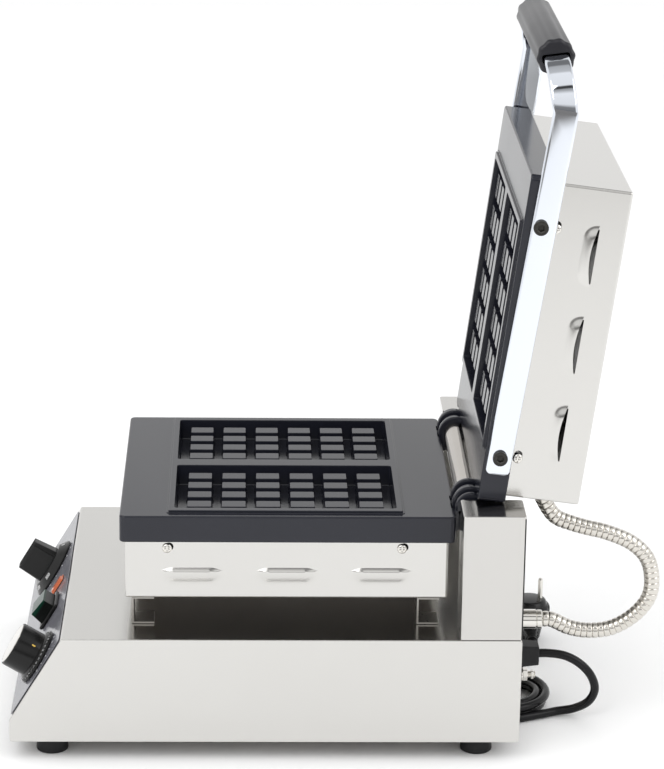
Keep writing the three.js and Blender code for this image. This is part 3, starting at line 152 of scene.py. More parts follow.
class Skin:
    """Points and faces of one mesh, gathered from rings of equal counts and plates with holes."""

    def __init__(self):
        self.points = []
        self.faces = []

    def ring(self, points):
        start = len(self.points)
        self.points.extend(Vector(point) * MM for point in points)
        return list(range(start, len(self.points)))

    def run(self, rings, first_cap=True, last_cap=True, closed=False):
        numbered = [self.ring(points) for points in rings]
        pairs = list(zip(numbered, numbered[1:]))
        if closed:
            pairs.append((numbered[-1], numbered[0]))
        for below, above in pairs:
            for i in range(len(below)):
                j = (i + 1) % len(below)
                self.faces.append((below[i], below[j], above[j], above[i]))
        if first_cap and not closed:
            self.faces.append(tuple(reversed(numbered[0])))
        if last_cap and not closed:
            self.faces.append(tuple(numbered[-1]))
        return self

    def plate(self, outside, *holes):
        numbers = [number for outline in (outside, *holes) for number in self.ring(outline)]
        flat = [[Vector(point) for point in outline] for outline in (outside, *holes)]
        self.faces += [tuple(numbers[i] for i in face) for face in tessellate_polygon(flat)]
        return self

    def made(self, name, place=still, angle=32):
        mesh = bpy.data.meshes.new(name)
        mesh.from_pydata([tuple(point) for point in self.points], [], self.faces)
        mesh.transform(place)
        face_outward(mesh)
        smooth(mesh, angle)
        return new_object(name, mesh)


def applied(piece):
    """The piece with its modifiers made plain mesh."""
    graph = bpy.context.evaluated_depsgraph_get()
    mesh = bpy.data.meshes.new_from_object(piece.evaluated_get(graph))
    piece.modifiers.clear()
    old = piece.data
    piece.data = mesh
    if old.users == 0:
        bpy.data.meshes.remove(old)
    return piece


def bevel(piece, width, segments=2, angle=30):
    modifier = piece.modifiers.new("edges", "BEVEL")
    modifier.width = width * MM
    modifier.segments = segments
    modifier.limit_method = "ANGLE"
    modifier.angle_limit = math.radians(angle)
    modifier.use_clamp_overlap = False
    modifier.loop_slide = False
    return applied(piece)


def weighted(piece, angle=32):
    """Smooth shading in which the wide flat faces stay flat."""
    smooth(piece.data, angle)
    modifier = piece.modifiers.new("weighted", "WEIGHTED_NORMAL")
    modifier.keep_sharp = True
    return applied(piece)


def joined(name, *pieces):
    shape = bmesh.new()
    for piece in pieces:
        shape.from_mesh(piece.data)
        bpy.data.objects.remove(piece)
    mesh = bpy.data.meshes.new(name)
    shape.to_mesh(mesh)
    shape.free()
    return new_object(name, mesh)


def cut_away(piece, *cutters):
    for cutter in cutters:
        modifier = piece.modifiers.new("cut", "BOOLEAN")
        modifier.operation = "DIFFERENCE"
        modifier.solver = "EXACT"
        modifier.object = cutter
    applied(piece)
    for cutter in cutters:
        bpy.data.objects.remove(cutter)
    return piece


def turned(name, profile, sides=64, place=still, angle=32):
    """A closed profile of (radius, height) pairs turned about Z."""
    rings = []
    for step in range(sides):
        turn = FULL_TURN * step / sides
        rings.append([(radius * math.cos(turn), radius * math.sin(turn), height) for radius, height in profile])
    return Skin().run(rings, closed=True).made(name, place, angle)


def rounded(outline, radius, steps=6):
    """A flat outline with each corner turned on the radius."""
    points = []
    for i, corner in enumerate(outline):
        corner = Vector(corner)
        a = (Vector(outline[i - 1]) - corner).normalized()
        b = (Vector(outline[(i + 1) % len(outline)]) - corner).normalized()
        half = a.angle(b) / 2
        centre = corner + (a + b).normalized() * radius / math.sin(half)
        start = corner + a * radius / math.tan(half) - centre
        end = corner + b * radius / math.tan(half) - centre
        sweep = math.atan2(start.x * end.y - start.y * end.x, start.dot(end))
        points += [centre + Matrix.Rotation(sweep * step / steps, 2) @ start for step in range(steps + 1)]
    return points


def plan(box, corner, height, grow=0.0, steps=6):
    """Ring of a rounded rectangle (x0, x1, y0, y1) at a height, grown or shrunk."""
    x0, x1, y0, y1 = box
    outline = [(x0 - grow, y0 - grow), (x1 + grow, y0 - grow), (x1 + grow, y1 + grow), (x0 - grow, y1 + grow)]
    return [(*point, height) for point in rounded(outline, corner + grow, steps)]


def turn_over(box, corner, face, radius, grow, side, inward=1, steps=4, corner_steps=6):
    """Rings from a wall round on to a face: side is the wall's direction from it, inward -1 for a hole."""
    rings = []
    for step in range(steps + 1):
        angle = QUARTER_TURN * step / steps
        shift = grow - inward * radius * (1 - math.cos(angle))
        rings.append(plan(box, corner, face + side * radius * (1 - math.sin(angle)), shift, corner_steps))
    return rings


def prism(name, outline, start, end, place=still, angle=32):
    rings = [[(*point, height) for point in outline] for height in (start, end)]
    return Skin().run(rings).made(name, place, angle)


def round_profile(radius, start, end, edge):
    """Profile of a solid disc or bar with rounded ends, for turning."""
    steps = [QUARTER_TURN * i / 4 for i in range(5)]
    low = [(radius - edge * (1 - math.sin(a)), start + edge * (1 - math.cos(a))) for a in steps]
    high = [(radius - edge * (1 - math.cos(a)), end - edge * (1 - math.sin(a))) for a in steps]
    return [(0, start), *low, *high, (0, end)]


def rod(name, radius, start, end, place=still, edge=0.3, sides=32):
    return turned(name, round_profile(radius, start, end, edge), sides, place)


def ring_points(sides, radius, first=0.0):
    return [
        (radius * math.cos(first + FULL_TURN * i / sides), radius * math.sin(first + FULL_TURN * i / sides))
        for i in range(sides)
    ]


def cad_copy(node, name):
    """A merged copy of a CAD node's mesh."""
    mesh = frame["nodes"][node].data.copy()
    mesh.name = name
    mesh.materials.clear()
    if "custom_normal" in mesh.attributes:
        mesh.attributes.remove(mesh.attributes["custom_normal"])
    shape = bmesh.new()
    shape.from_mesh(mesh)
    bmesh.ops.remove_doubles(shape, verts=shape.verts, dist=2e-6)
    flat = math.radians(0.5)
    bmesh.ops.dissolve_limit(shape, angle_limit=flat, verts=shape.verts, edges=shape.edges)
    shape.to_mesh(mesh)
    shape.free()
    return new_object(name, mesh)


def dress(piece, body, slot, material, *nodes):
    """Gives a finished piece its material and body, and hides the CAD nodes that it stands for; the slot argument is
    not used.
    """
    piece.data.materials.clear()
    piece.data.materials.append(material)
    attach(piece, body)
    if nodes:
        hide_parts(*nodes)
    return piece


def softened(node, body, slot, material, width, segments=2, angle=30):
    """A CAD node's shape with its edges rounded, in place of the node."""
    piece = cad_copy(node, node + "_soft")
    bevel(piece, width, segments, angle)
    return dress(weighted(piece, 50), body, slot, material, node)


# Geometry trees

def geometry_tree(name, *inputs):
    """An empty geometry tree with named inputs; returns it, its entry and its last node's input."""
    tree = bpy.data.node_groups.new(name, "GeometryNodeTree")
    for socket, kind, default in inputs:
        item = tree.interface.new_socket(socket, in_out="INPUT", socket_type=kind)
        if default is not None:
            item.default_value = default
    tree.interface.new_socket("Finish", in_out="INPUT", socket_type="NodeSocketMaterial")
    tree.interface.new_socket("Made", in_out="OUTPUT", socket_type="NodeSocketGeometry")
    entry = add_node(tree, "NodeGroupInput")
    real = add_node(tree, "GeometryNodeRealizeInstances")
    finish = add_node(tree, "GeometryNodeSetMaterial")
    leave = add_node(tree, "NodeGroupOutput")
    tree.links.new(real.outputs["Geometry"], finish.inputs["Geometry"])
    tree.links.new(entry.outputs["Finish"], finish.inputs["Material"])
    tree.links.new(finish.outputs["Geometry"], leave.inputs["Made"])
    return tree, entry, real.inputs["Geometry"]


def with_tree(piece, tree, **values):
    """Runs a geometry tree on the piece with its named inputs and makes the result plain mesh."""
    modifier = piece.modifiers.new(tree.name, "NODES")
    modifier.node_group = tree
    sockets = {item.name: item.identifier for item in tree.interface.items_tree if item.in_out == "INPUT"}
    for name, value in values.items():
        modifier[sockets[name.replace("_", " ")]] = value
    return applied(piece)


def add_node(tree, kind, **settings):
    node = tree.nodes.new(kind)
    for key, value in settings.items():
        setattr(node, key, value)
    return node


def math_node(tree, operation, first, second=None):
    node = add_node(tree, "ShaderNodeMath", operation=operation)
    for socket, value in zip(node.inputs, (first, second)):
        if value is None:
            continue
        if isinstance(value, (int, float)):
            socket.default_value = value
        else:
            tree.links.new(value, socket)
    return node.outputs[0]


def set_out_tree():
    """Puts the shape on each spot, turned by the spot's own angles."""
    tree, entry, last = geometry_tree(
        "set_out", ("Spots", "NodeSocketGeometry", None), ("Shape", "NodeSocketObject", None),
    )
    shape = add_node(tree, "GeometryNodeObjectInfo")
    tree.links.new(entry.outputs["Shape"], shape.inputs["Object"])
    turn = add_node(tree, "GeometryNodeInputNamedAttribute", data_type="FLOAT_VECTOR")
    turn.inputs["Name"].default_value = "turn"
    rotation = add_node(tree, "FunctionNodeEulerToRotation")
    tree.links.new(turn.outputs["Attribute"], rotation.inputs["Euler"])
    place = add_node(tree, "GeometryNodeInstanceOnPoints")
    tree.links.new(entry.outputs["Spots"], place.inputs["Points"])
    tree.links.new(shape.outputs["Geometry"], place.inputs["Instance"])
    tree.links.new(rotation.outputs["Rotation"], place.inputs["Rotation"])
    tree.links.new(place.outputs["Instances"], last)
    return tree


def post_field_tree():
    """Stands a post on every point of a grid in each of the two wells."""
    tree, entry, last = geometry_tree(
        "post_field",
        ("Post", "NodeSocketGeometry", None),
        ("Posts Across", "NodeSocketInt", 4),
        ("Posts Along", "NodeSocketInt", 6),
        ("Pitch Across", "NodeSocketFloat", 0.0227),
        ("Pitch Along", "NodeSocketFloat", 0.0279),
        ("Well Across", "NodeSocketFloat", 0.0596),
        ("Well Along", "NodeSocketFloat", 0.149),
    )
    field = add_node(tree, "GeometryNodeMeshGrid")
    for size, count, pitch, number in (
        ("Size X", "Vertices X", "Pitch Across", "Posts Across"), ("Size Y", "Vertices Y", "Pitch Along", "Posts Along"),
    ):
        gaps = math_node(tree, "SUBTRACT", entry.outputs[number], 1.0)
        tree.links.new(math_node(tree, "MULTIPLY", gaps, entry.outputs[pitch]), field.inputs[size])
        tree.links.new(entry.outputs[number], field.inputs[count])
    posts = add_node(tree, "GeometryNodeInstanceOnPoints")
    tree.links.new(field.outputs["Mesh"], posts.inputs["Points"])
    tree.links.new(entry.outputs["Post"], posts.inputs["Instance"])
    wells = add_node(tree, "GeometryNodeMeshLine", mode="END_POINTS")
    wells.inputs["Count"].default_value = 2
    for sign, socket in ((-1.0, "Start Location"), (1.0, "Offset")):
        middle = add_node(tree, "ShaderNodeCombineXYZ")
        tree.links.new(math_node(tree, "MULTIPLY", entry.outputs["Well Across"], sign), middle.inputs["X"])
        tree.links.new(entry.outputs["Well Along"], middle.inputs["Y"])
        tree.links.new(middle.outputs["Vector"], wells.inputs[socket])
    both = add_node(tree, "GeometryNodeInstanceOnPoints")
    tree.links.new(wells.outputs["Mesh"], both.inputs["Points"])
    tree.links.new(posts.outputs["Instances"], both.inputs["Instance"])
    tree.links.new(both.outputs["Instances"], last)
    return tree


SET_OUT = set_out_tree()
POST_FIELD = post_field_tree()


def set_out(name, shape, spots, place, finish):
    """One mesh of the shape on all spots, given as (place, turn) pairs."""
    mesh = bpy.data.meshes.new(name)
    mesh.from_pydata([tuple(Vector(spot) * MM) for spot, turn in spots], [], [])
    turns = mesh.attributes.new("turn", "FLOAT_VECTOR", "POINT")
    for item, (spot, turn) in zip(turns.data, spots):
        item.vector = turn
    piece = with_tree(new_object(name, mesh), SET_OUT, Shape=shape, Finish=finish)
    bpy.data.objects.remove(shape)
    piece.data.transform(place)
    return piece


OUT_RIGHT = (0, QUARTER_TURN, 0)
OUT_LEFT = (0, -QUARTER_TURN, 0)


# Shader groups

def group(name, inputs, outputs):
    tree = bpy.data.node_groups.new(name, "ShaderNodeTree")
    for socket, kind, default in inputs:
        item = tree.interface.new_socket(socket, in_out="INPUT", socket_type=kind)
        item.default_value = default
    for socket, kind in outputs:
        tree.interface.new_socket(socket, in_out="OUTPUT", socket_type=kind)
    return tree, tree.nodes.new("NodeGroupInput"), tree.nodes.new("NodeGroupOutput")


def noise(tree, vector, scale, detail=3.0, roughness=0.55):
    node = add_node(tree, "ShaderNodeTexNoise")
    node.inputs["Detail"].default_value = detail
    node.inputs["Roughness"].default_value = roughness
    if isinstance(scale, (int, float)):
        node.inputs["Scale"].default_value = scale
    else:
        tree.links.new(scale, node.inputs["Scale"])
    tree.links.new(vector, node.inputs["Vector"])
    return node.outputs["Fac"]


def spread(tree, value, low, high):
    """Maps a 0 to 1 value on to low to high."""
    node = add_node(tree, "ShaderNodeMapRange")
    tree.links.new(value, node.inputs["Value"])
    for socket, bound in (("To Min", low), ("To Max", high)):
        if isinstance(bound, (int, float)):
            node.inputs[socket].default_value = bound
        else:
            tree.links.new(bound, node.inputs[socket])
    return node.outputs["Result"]


def brushed_group():
    """Fine parallel grain along one axis, with soft handling marks."""
    tree, entry, leave = group("brushed_grain", [
        ("Grain Axis Scale", "NodeSocketVector", (60, 2400, 2400)),
        ("Roughness", "NodeSocketFloat", 0.3),
        ("Roughness Spread", "NodeSocketFloat", 0.08),
    ], [("Roughness", "NodeSocketFloat"), ("Height", "NodeSocketFloat"), ("Marks", "NodeSocketFloat")])
    place = add_node(tree, "ShaderNodeTexCoord").outputs["Object"]
    stretch = add_node(tree, "ShaderNodeVectorMath", operation="MULTIPLY")
    tree.links.new(place, stretch.inputs[0])
    tree.links.new(entry.outputs["Grain Axis Scale"], stretch.inputs[1])
    grain = noise(tree, stretch.outputs[0], 1.0, 2.0)
    marks = noise(tree, place, 9.0, 4.0)
    low = math_node(tree, "SUBTRACT", entry.outputs["Roughness"], entry.outputs["Roughness Spread"])
    high = math_node(tree, "ADD", entry.outputs["Roughness"], entry.outputs["Roughness Spread"])
    mixed = math_node(tree, "ADD", math_node(tree, "MULTIPLY", grain, 0.55), math_node(tree, "MULTIPLY", marks, 0.45))
    tree.links.new(spread(tree, mixed, low, high), leave.inputs["Roughness"])
    tree.links.new(grain, leave.inputs["Height"])
    tree.links.new(marks, leave.inputs["Marks"])
    return tree


def speckle_group():
    """Fine grain of a casting or moulding: height, roughness and a slow colour drift."""
    tree, entry, leave = group("speckle", [
        ("Scale", "NodeSocketFloat", 900.0),
        ("Roughness", "NodeSocketFloat", 0.5),
        ("Roughness Spread", "NodeSocketFloat", 0.1),
        ("Drift Scale", "NodeSocketFloat", 14.0),
    ], [("Roughness", "NodeSocketFloat"), ("Height", "NodeSocketFloat"), ("Drift", "NodeSocketFloat")])
    place = add_node(tree, "ShaderNodeTexCoord").outputs["Object"]
    fine = noise(tree, place, entry.outputs["Scale"], 4.0, 0.6)
    drift = noise(tree, place, entry.outputs["Drift Scale"], 3.0)
    low = math_node(tree, "SUBTRACT", entry.outputs["Roughness"], entry.outputs["Roughness Spread"])
    high = math_node(tree, "ADD", entry.outputs["Roughness"], entry.outputs["Roughness Spread"])
    tree.links.new(spread(tree, drift, low, high), leave.inputs["Roughness"])
    tree.links.new(fine, leave.inputs["Height"])
    tree.links.new(drift, leave.inputs["Drift"])
    return tree


def edge_group():
    """A mask that is 1 where two faces meet at an edge, broken up by noise."""
    tree, entry, leave = group("edge_wear", [
        ("Radius", "NodeSocketFloat", 0.001),
        ("Amount", "NodeSocketFloat", 1.0),
    ], [("Mask", "NodeSocketFloat")])
    soft = add_node(tree, "ShaderNodeBevel", samples=4)
    tree.links.new(entry.outputs["Radius"], soft.inputs["Radius"])
    plain = add_node(tree, "ShaderNodeNewGeometry").outputs["Normal"]
    dot = add_node(tree, "ShaderNodeVectorMath", operation="DOT_PRODUCT")
    tree.links.new(soft.outputs["Normal"], dot.inputs[0])
    tree.links.new(plain, dot.inputs[1])
    bend = math_node(tree, "SUBTRACT", 1.0, dot.outputs["Value"])
    sharpened = math_node(tree, "MINIMUM", math_node(tree, "MULTIPLY", bend, 9.0), 1.0)
    place = add_node(tree, "ShaderNodeTexCoord").outputs["Object"]
    patchy = spread(tree, noise(tree, place, 60.0, 4.0), 0.2, 1.2)
    mask = math_node(tree, "MULTIPLY", math_node(tree, "MULTIPLY", sharpened, patchy), entry.outputs["Amount"])
    clamped = math_node(tree, "MINIMUM", math_node(tree, "MAXIMUM", mask, 0.0), 1.0)
    tree.links.new(clamped, leave.inputs["Mask"])
    return tree


BRUSHED = brushed_group()
SPECKLE = speckle_group()
EDGES = edge_group()


def material(name, metallic, **sockets):
    """An empty material with a Principled shader; returns the material, its tree and the shader."""
    result = bpy.data.materials.new(name)
    result.use_nodes = True
    tree = result.node_tree
    shader = tree.nodes["Principled BSDF"]
    shader.inputs["Metallic"].default_value = metallic
    for socket, value in sockets.items():
        shader.inputs[socket.replace("_", " ")].default_value = value
    return result, tree, shader


def use_group(tree, shared, **values):
    node = add_node(tree, "ShaderNodeGroup")
    node.node_tree = shared
    for socket, value in values.items():
        node.inputs[socket.replace("_", " ")].default_value = value
    return node


def two_colours(tree, shader, mask, first, second):
    mix = add_node(tree, "ShaderNodeMix", data_type="RGBA")
    tree.links.new(mask, mix.inputs["Factor"])
    mix.inputs["A"].default_value = (*first, 1)
    mix.inputs["B"].default_value = (*second, 1)
    tree.links.new(mix.outputs["Result"], shader.inputs["Base Color"])
    return mix


def bump(tree, shader, height, strength, distance):
    node = add_node(tree, "ShaderNodeBump")
    node.inputs["Strength"].default_value = strength
    node.inputs["Distance"].default_value = distance
    tree.links.new(height, node.inputs["Height"])
    tree.links.new(node.outputs["Normal"], shader.inputs["Normal"])


def sheet_metal(name, colour, shade, roughness, roughness_spread, grain, height, metallic=1.0):
    result, tree, shader = material(name, metallic)
    brushed = use_group(
        tree, BRUSHED, Grain_Axis_Scale=grain, Roughness=roughness, Roughness_Spread=roughness_spread,
    )
    tree.links.new(brushed.outputs["Roughness"], shader.inputs["Roughness"])
    two_colours(tree, shader, brushed.outputs["Marks"], shade, colour)
    bump(tree, shader, brushed.outputs["Height"], height, 0.05 * MM)
    return result


def moulded(name, colour, shade, roughness, roughness_spread, scale, height, wear=0.0, worn=(0.2, 0.2, 0.2), **sockets):
    result, tree, shader = material(name, 0.0, **sockets)
    speckle = use_group(tree, SPECKLE, Scale=scale, Roughness=roughness, Roughness_Spread=roughness_spread)
    tree.links.new(speckle.outputs["Roughness"], shader.inputs["Roughness"])
    mix = two_colours(tree, shader, speckle.outputs["Drift"], shade, colour)
    bump(tree, shader, speckle.outputs["Height"], height, 0.08 * MM)
    if wear:
        edges = use_group(tree, EDGES, Radius=0.9 * MM, Amount=wear)
        over = add_node(tree, "ShaderNodeMix", data_type="RGBA")
        tree.links.new(edges.outputs["Mask"], over.inputs["Factor"])
        tree.links.new(mix.outputs["Result"], over.inputs["A"])
        over.inputs["B"].default_value = (*worn, 1)
        tree.links.new(over.outputs["Result"], shader.inputs["Base Color"])
    return result


GRAIN_ALONG_Y = (2600, 40, 2600)
GRAIN_ALONG_X = (40, 2600, 2600)
GRAIN_ALONG_Z = (2600, 2600, 40)

STAINLESS = sheet_metal("stainless", (0.66, 0.651, 0.628), (0.625, 0.615, 0.592), 0.19, 0.04, GRAIN_ALONG_Y, 0.04)
COLUMN_STEEL = sheet_metal("stainless_column", (0.61, 0.6, 0.578), (0.58, 0.568, 0.547), 0.13, 0.03, GRAIN_ALONG_Z, 0.03)
# Dark brown colour for the lower housing's underside: painted shade.
UNDERSIDE_PAINTED_SHADE = sheet_metal("underside_painted_shade_sheet", (0.13, 0.105, 0.08), (0.085, 0.067, 0.05), 0.4, 0.08, GRAIN_ALONG_Y, 0.05)
# Stainless darkened and browned for the hinge tube: painted shade.
HINGE_SHADED_STEEL = sheet_metal("stainless_tube_painted_shade", (0.56, 0.53, 0.49), (0.4, 0.37, 0.34), 0.13, 0.04, GRAIN_ALONG_X, 0.06)
ZINC = sheet_metal("zinc_sheet", (0.42, 0.4, 0.37), (0.3, 0.29, 0.27), 0.3, 0.08, (300, 300, 300), 0.1)
CHROME = sheet_metal("chrome", (0.79, 0.82, 0.88), (0.74, 0.78, 0.84), 0.05, 0.02, (60, 60, 60), 0.0)
NICKEL = sheet_metal("nickel", (0.8, 0.78, 0.74), (0.68, 0.66, 0.62), 0.12, 0.04, (500, 500, 500), 0.04)
CONDUIT_STEEL = sheet_metal("conduit_strip", (0.76, 0.735, 0.69), (0.58, 0.55, 0.5), 0.2, 0.08, (400, 400, 400), 0.06)
BRASS = sheet_metal("brass", (0.5, 0.34, 0.12), (0.4, 0.27, 0.09), 0.3, 0.08, (400, 400, 400), 0.05)
BLACK_STEEL = sheet_metal("black_oxide", (0.03, 0.028, 0.024), (0.018, 0.017, 0.015), 0.34, 0.08, (600, 600, 600), 0.1, 0.4)
# Near-black line colour: painted shade for the shadow in the column joints.
SEAM_PAINTED_SHADE = moulded("seam_painted_shade", (0.012, 0.011, 0.01), (0.008, 0.008, 0.008), 0.5, 0.05, 600.0, 0.05)
CAST_IRON = moulded(
    "cast_iron", (0.016, 0.017, 0.025), (0.011, 0.012, 0.018), 0.17, 0.03, 1400.0, 0.1,
    wear=0.14, worn=(0.08, 0.085, 0.1), Specular_IOR_Level=0.4,
)
BAKELITE = moulded(
    "bakelite", (0.024, 0.0235, 0.028), (0.015, 0.015, 0.019), 0.32, 0.06, 700.0, 0.1, Specular_IOR_Level=0.35,
)
KNOB = moulded(
    "knob_plastic", (0.009, 0.009, 0.009), (0.006, 0.006, 0.006), 0.22, 0.05, 900.0, 0.06, wear=0.08,
    Specular_IOR_Level=0.28,
)
RUBBER = moulded("foot_rubber", (0.015, 0.015, 0.016), (0.01, 0.01, 0.011), 0.5, 0.1, 800.0, 0.4, Specular_IOR_Level=0.25)
CORD = moulded(
    "cord_sheath", (0.009, 0.0085, 0.0095), (0.006, 0.006, 0.0065), 0.2, 0.05, 500.0, 0.06, Specular_IOR_Level=0.22,
)
ORANGE = moulded("orange_lens", (0.62, 0.16, 0.06), (0.5, 0.1, 0.035), 0.12, 0.04, 400.0, 0.05)
YELLOW = moulded("yellow_mark", (0.75, 0.5, 0.08), (0.65, 0.42, 0.06), 0.4, 0.05, 500.0, 0.02)
PANEL = moulded("panel_print", (0.2, 0.2, 0.225), (0.15, 0.15, 0.172), 0.2, 0.05, 900.0, 0.04)
WHITE_PRINT = moulded("white_print", (0.9, 0.9, 0.9), (0.82, 0.82, 0.82), 0.4, 0.05, 500.0, 0.02)


# Power cord: the route's points are those of the CAD model, in metres, y counted from the rear wall

CORD_RADIUS = 3.65 * MM
GLAND_X = 80 * MM
GLAND_Z = 63 * MM
GLAND_END = 21.3 * MM
from_rear = Vector((0, BASE_REAR_Y, 0))
COIL_CENTRE = Vector((0.038, -0.007, 0.0037)) + from_rear
COIL_RADIUS = 43.5 * MM
COIL_PITCH = 7.9 * MM
COIL_START = math.radians(30)
COIL_TURNS = 10 / 3
COIL_STEPS = 36
FREE_ROUTE = [
    (0.08, 0.043, 0.0608),
    (0.0798, 0.056, 0.0536),
    (0.0788, 0.066, 0.042),
    (0.0762, 0.0698, 0.0286),
    (0.0716, 0.0654, 0.0158),
    (0.0665, 0.054, 0.0072),
    (0.0648, 0.04, 0.004),
]
TAIL_ROUTE = [
    (0.008, -0.0494, 0.0094),
    (-0.01, -0.044, 0.0054),
    (-0.023, -0.033, 0.0038),
    (-0.031, -0.017, 0.0038),
    (-0.036, 0, 0.0038),
    (-0.042, 0.015, 0.005),
    (-0.051, 0.026, 0.0084),
]
PLUG_PLACE = Vector((-0.108, 0.0315, 0)) + from_rear
PLUG_RADIUS = 18.5
PLUG_ENTRY_Z = 11
PLUG_RELIEF = 20
PIN_SPACING = 19


def through(points, steps):
    """A smooth run through the points, spaced by the root of their distances."""
    run = [2 * points[0] - points[1], *points, 2 * points[-1] - points[-2]]
    result = []
    for p0, p1, p2, p3 in zip(run, run[1:], run[2:], run[3:]):
        d0, d1, d2 = ((b - a).length ** 0.5 for a, b in ((p0, p1), (p1, p2), (p2, p3)))
        leave = ((p1 - p0) / d0 - (p2 - p0) / (d0 + d1) + (p2 - p1) / d1) * d1
        reach = ((p2 - p1) / d1 - (p3 - p1) / (d1 + d2) + (p3 - p2) / d2) * d1
        for step in range(steps):
            t = step / steps
            result.append(
                p1 * (2 * t ** 3 - 3 * t ** 2 + 1)
                + leave * (t ** 3 - 2 * t ** 2 + t)
                + p2 * (3 * t ** 2 - 2 * t ** 3)
                + reach * (t ** 3 - t ** 2)
            )
    result.append(points[-1])
    return result


def coil_point(turn):
    reverse = COIL_TURNS / 2
    radius = COIL_RADIUS - COIL_PITCH * (reverse - abs(turn - reverse))
    angle = COIL_START - FULL_TURN * turn
    part = min(max((turn - reverse + 0.25) / 0.5, 0), 1)
    climb = part * part * (3 - 2 * part)
    return COIL_CENTRE + Vector((radius * math.cos(angle), radius * math.sin(angle), COIL_PITCH * climb))


def cord_path():
    count = round(COIL_TURNS * COIL_STEPS)
    loops = [coil_point(COIL_TURNS * i / count) for i in range(count + 1)]
    diameter = 2 * CORD_RADIUS
    before = (loops[0] - loops[1]).normalized()
    after = (loops[-1] - loops[-2]).normalized()
    gland = Vector((GLAND_X, GLAND_END, GLAND_Z)) + from_rear
    relief = PLUG_PLACE + Vector((PLUG_RADIUS + PLUG_RELIEF + 0.3, 0, PLUG_ENTRY_Z)) * MM
    free = [
        gland,
        gland + Vector((0, diameter, 0)),
        *(Vector(point) + from_rear for point in FREE_ROUTE),
        loops[0] + before * 2 * diameter,
        loops[0] + before * diameter,
    ]
    tail = [
        loops[-1] + after * diameter,
        loops[-1] + after * 2 * diameter,
        *(Vector(point) + from_rear for point in TAIL_ROUTE),
        relief + Vector((diameter, 0, 0)),
        relief,
    ]
    return through(free, 8) + loops + through(tail, 8)


def tube_curve(name, points, radius):
    data = bpy.data.curves.new(name, "CURVE")
    data.dimensions = "3D"
    data.bevel_depth = radius
    data.bevel_resolution = 5
    data.use_fill_caps = True
    spline = data.splines.new("POLY")
    spline.points.add(len(points) - 1)
    for place, point in zip(spline.points, points):
        place.co = (*point, 1)
    spline.use_smooth = True
    return new_object(name, data)


def make_cord():
    points = cord_path()
    cord = tube_curve("mains_cord", points, CORD_RADIUS)
    dress(cord, BASE, "cord_black", CORD, "power_cord", "cord_coil", "cord_tail")
    plug = make_plug()
    pins = [make_pin("front", -1), make_pin("rear", 1)]


def make_plug():
    """Round moulded plug lying on its back, pins up, the lead leaving low at the side."""
    profile = [
        (0, 0), (9.4, 0), (10.4, 0.8), (11.6, 7), (13.4, 13), (15.6, 18), (17.2, 21), (18.2, 23), (18.5, 25), (18.5, 29.5),
        (18, 31), (16.8, 32.2), (16, 32.4), (15.4, 33.6), (14.6, 35.6), (13.6, 36.6), (12, 37), (0, 37),
    ]
    notches = [
        rod(f"plug_notch_{i}", 2.6, 14, 33, Matrix.Translation((x * MM, y * MM, 0)), 0, 20)
        for i, (x, y) in enumerate(ring_points(10, 19.4))
    ]
    body = cut_away(turned("plug_body", profile, 72), *notches)
    body.data.transform(Matrix.Translation(PLUG_PLACE))
    relief_profile = [(0, 10), (7.2, 10), (7.2, 18.6)]
    rib = 2.6
    for i in range(6):
        start = PLUG_RADIUS + 1 + i * rib
        outer = 7.1 - 0.34 * i
        relief_profile += [(outer, start), (outer, start + rib * 0.6), (outer - 0.8, start + rib * 0.7),
                           (outer - 0.8, start + rib * 0.95)]
    relief_profile += [(5, PLUG_RADIUS + PLUG_RELIEF - 1), (4.6, PLUG_RADIUS + PLUG_RELIEF),
                       (0, PLUG_RADIUS + PLUG_RELIEF)]
    entry_place = Matrix.Translation(PLUG_PLACE + Vector((0, 0, PLUG_ENTRY_Z * MM))) @ along_x
    relief = turned("plug_relief", relief_profile, 32, entry_place)
    return dress(joined("plug_moulding", body, relief), BASE, "cord_black", KNOB, "plug")


def make_pin(end, sign):
    profile = [(0, 31), (2.1, 31), (2.1, 54.4), (1.8, 55.4), (1.1, 56), (0, 56)]
    place = Matrix.Translation(PLUG_PLACE + Vector((0, sign * PIN_SPACING / 2 * MM, 0)))
    pin = turned(f"plug_pin_{end}_turned", profile, 24, place)
    return dress(pin, BASE, "nickel", NICKEL, f"plug_pin_{end}")


# Floor and light

def make_stage():
    size = 30
    data = bpy.data.meshes.new("floor")
    data.from_pydata([(-size, -size, 0), (size, -size, 0), (size, size, 0), (-size, size, 0)], [], [(0, 1, 2, 3)])
    floor = new_object("floor", data)
    result, tree, shader = material("pale_floor", 0.0, Roughness=0.6, Specular_IOR_Level=0.1)
    place = add_node(tree, "ShaderNodeSeparateXYZ")
    tree.links.new(add_node(tree, "ShaderNodeTexCoord").outputs["Object"], place.inputs[0])
    far = add_node(tree, "ShaderNodeMapRange")
    tree.links.new(place.outputs["X"], far.inputs["Value"])
    far.inputs["From Min"].default_value = FLOOR_EDGE
    far.inputs["From Max"].default_value = FLOOR_EDGE + 0.5
    mirrored = add_node(tree, "ShaderNodeLightPath").outputs["Is Glossy Ray"]
    two_colours(tree, shader, math_node(tree, "MULTIPLY", far.outputs["Result"], mirrored), FLOOR_WHITE, FLOOR_FAR)
    floor.data.materials.append(result)


# The white paper ends in front of the object, and only mirrors see past its edge
FLOOR_EDGE = 2.5
FLOOR_WHITE = (0.985, 0.987, 0.99)
FLOOR_FAR = (0.2, 0.19, 0.18)


def ramp(tree, value, stops):
    """Grey levels along a value, given as (place, level) pairs."""
    node = add_node(tree, "ShaderNodeValToRGB")
    tree.links.new(value, node.inputs["Fac"])
    elements = node.color_ramp.elements
    while len(elements) < len(stops):
        elements.new(1.0)
    for element, (place, level) in zip(elements, stops):
        element.position = place
        element.color = (level, level, level, 1)
    return node.outputs["Color"]


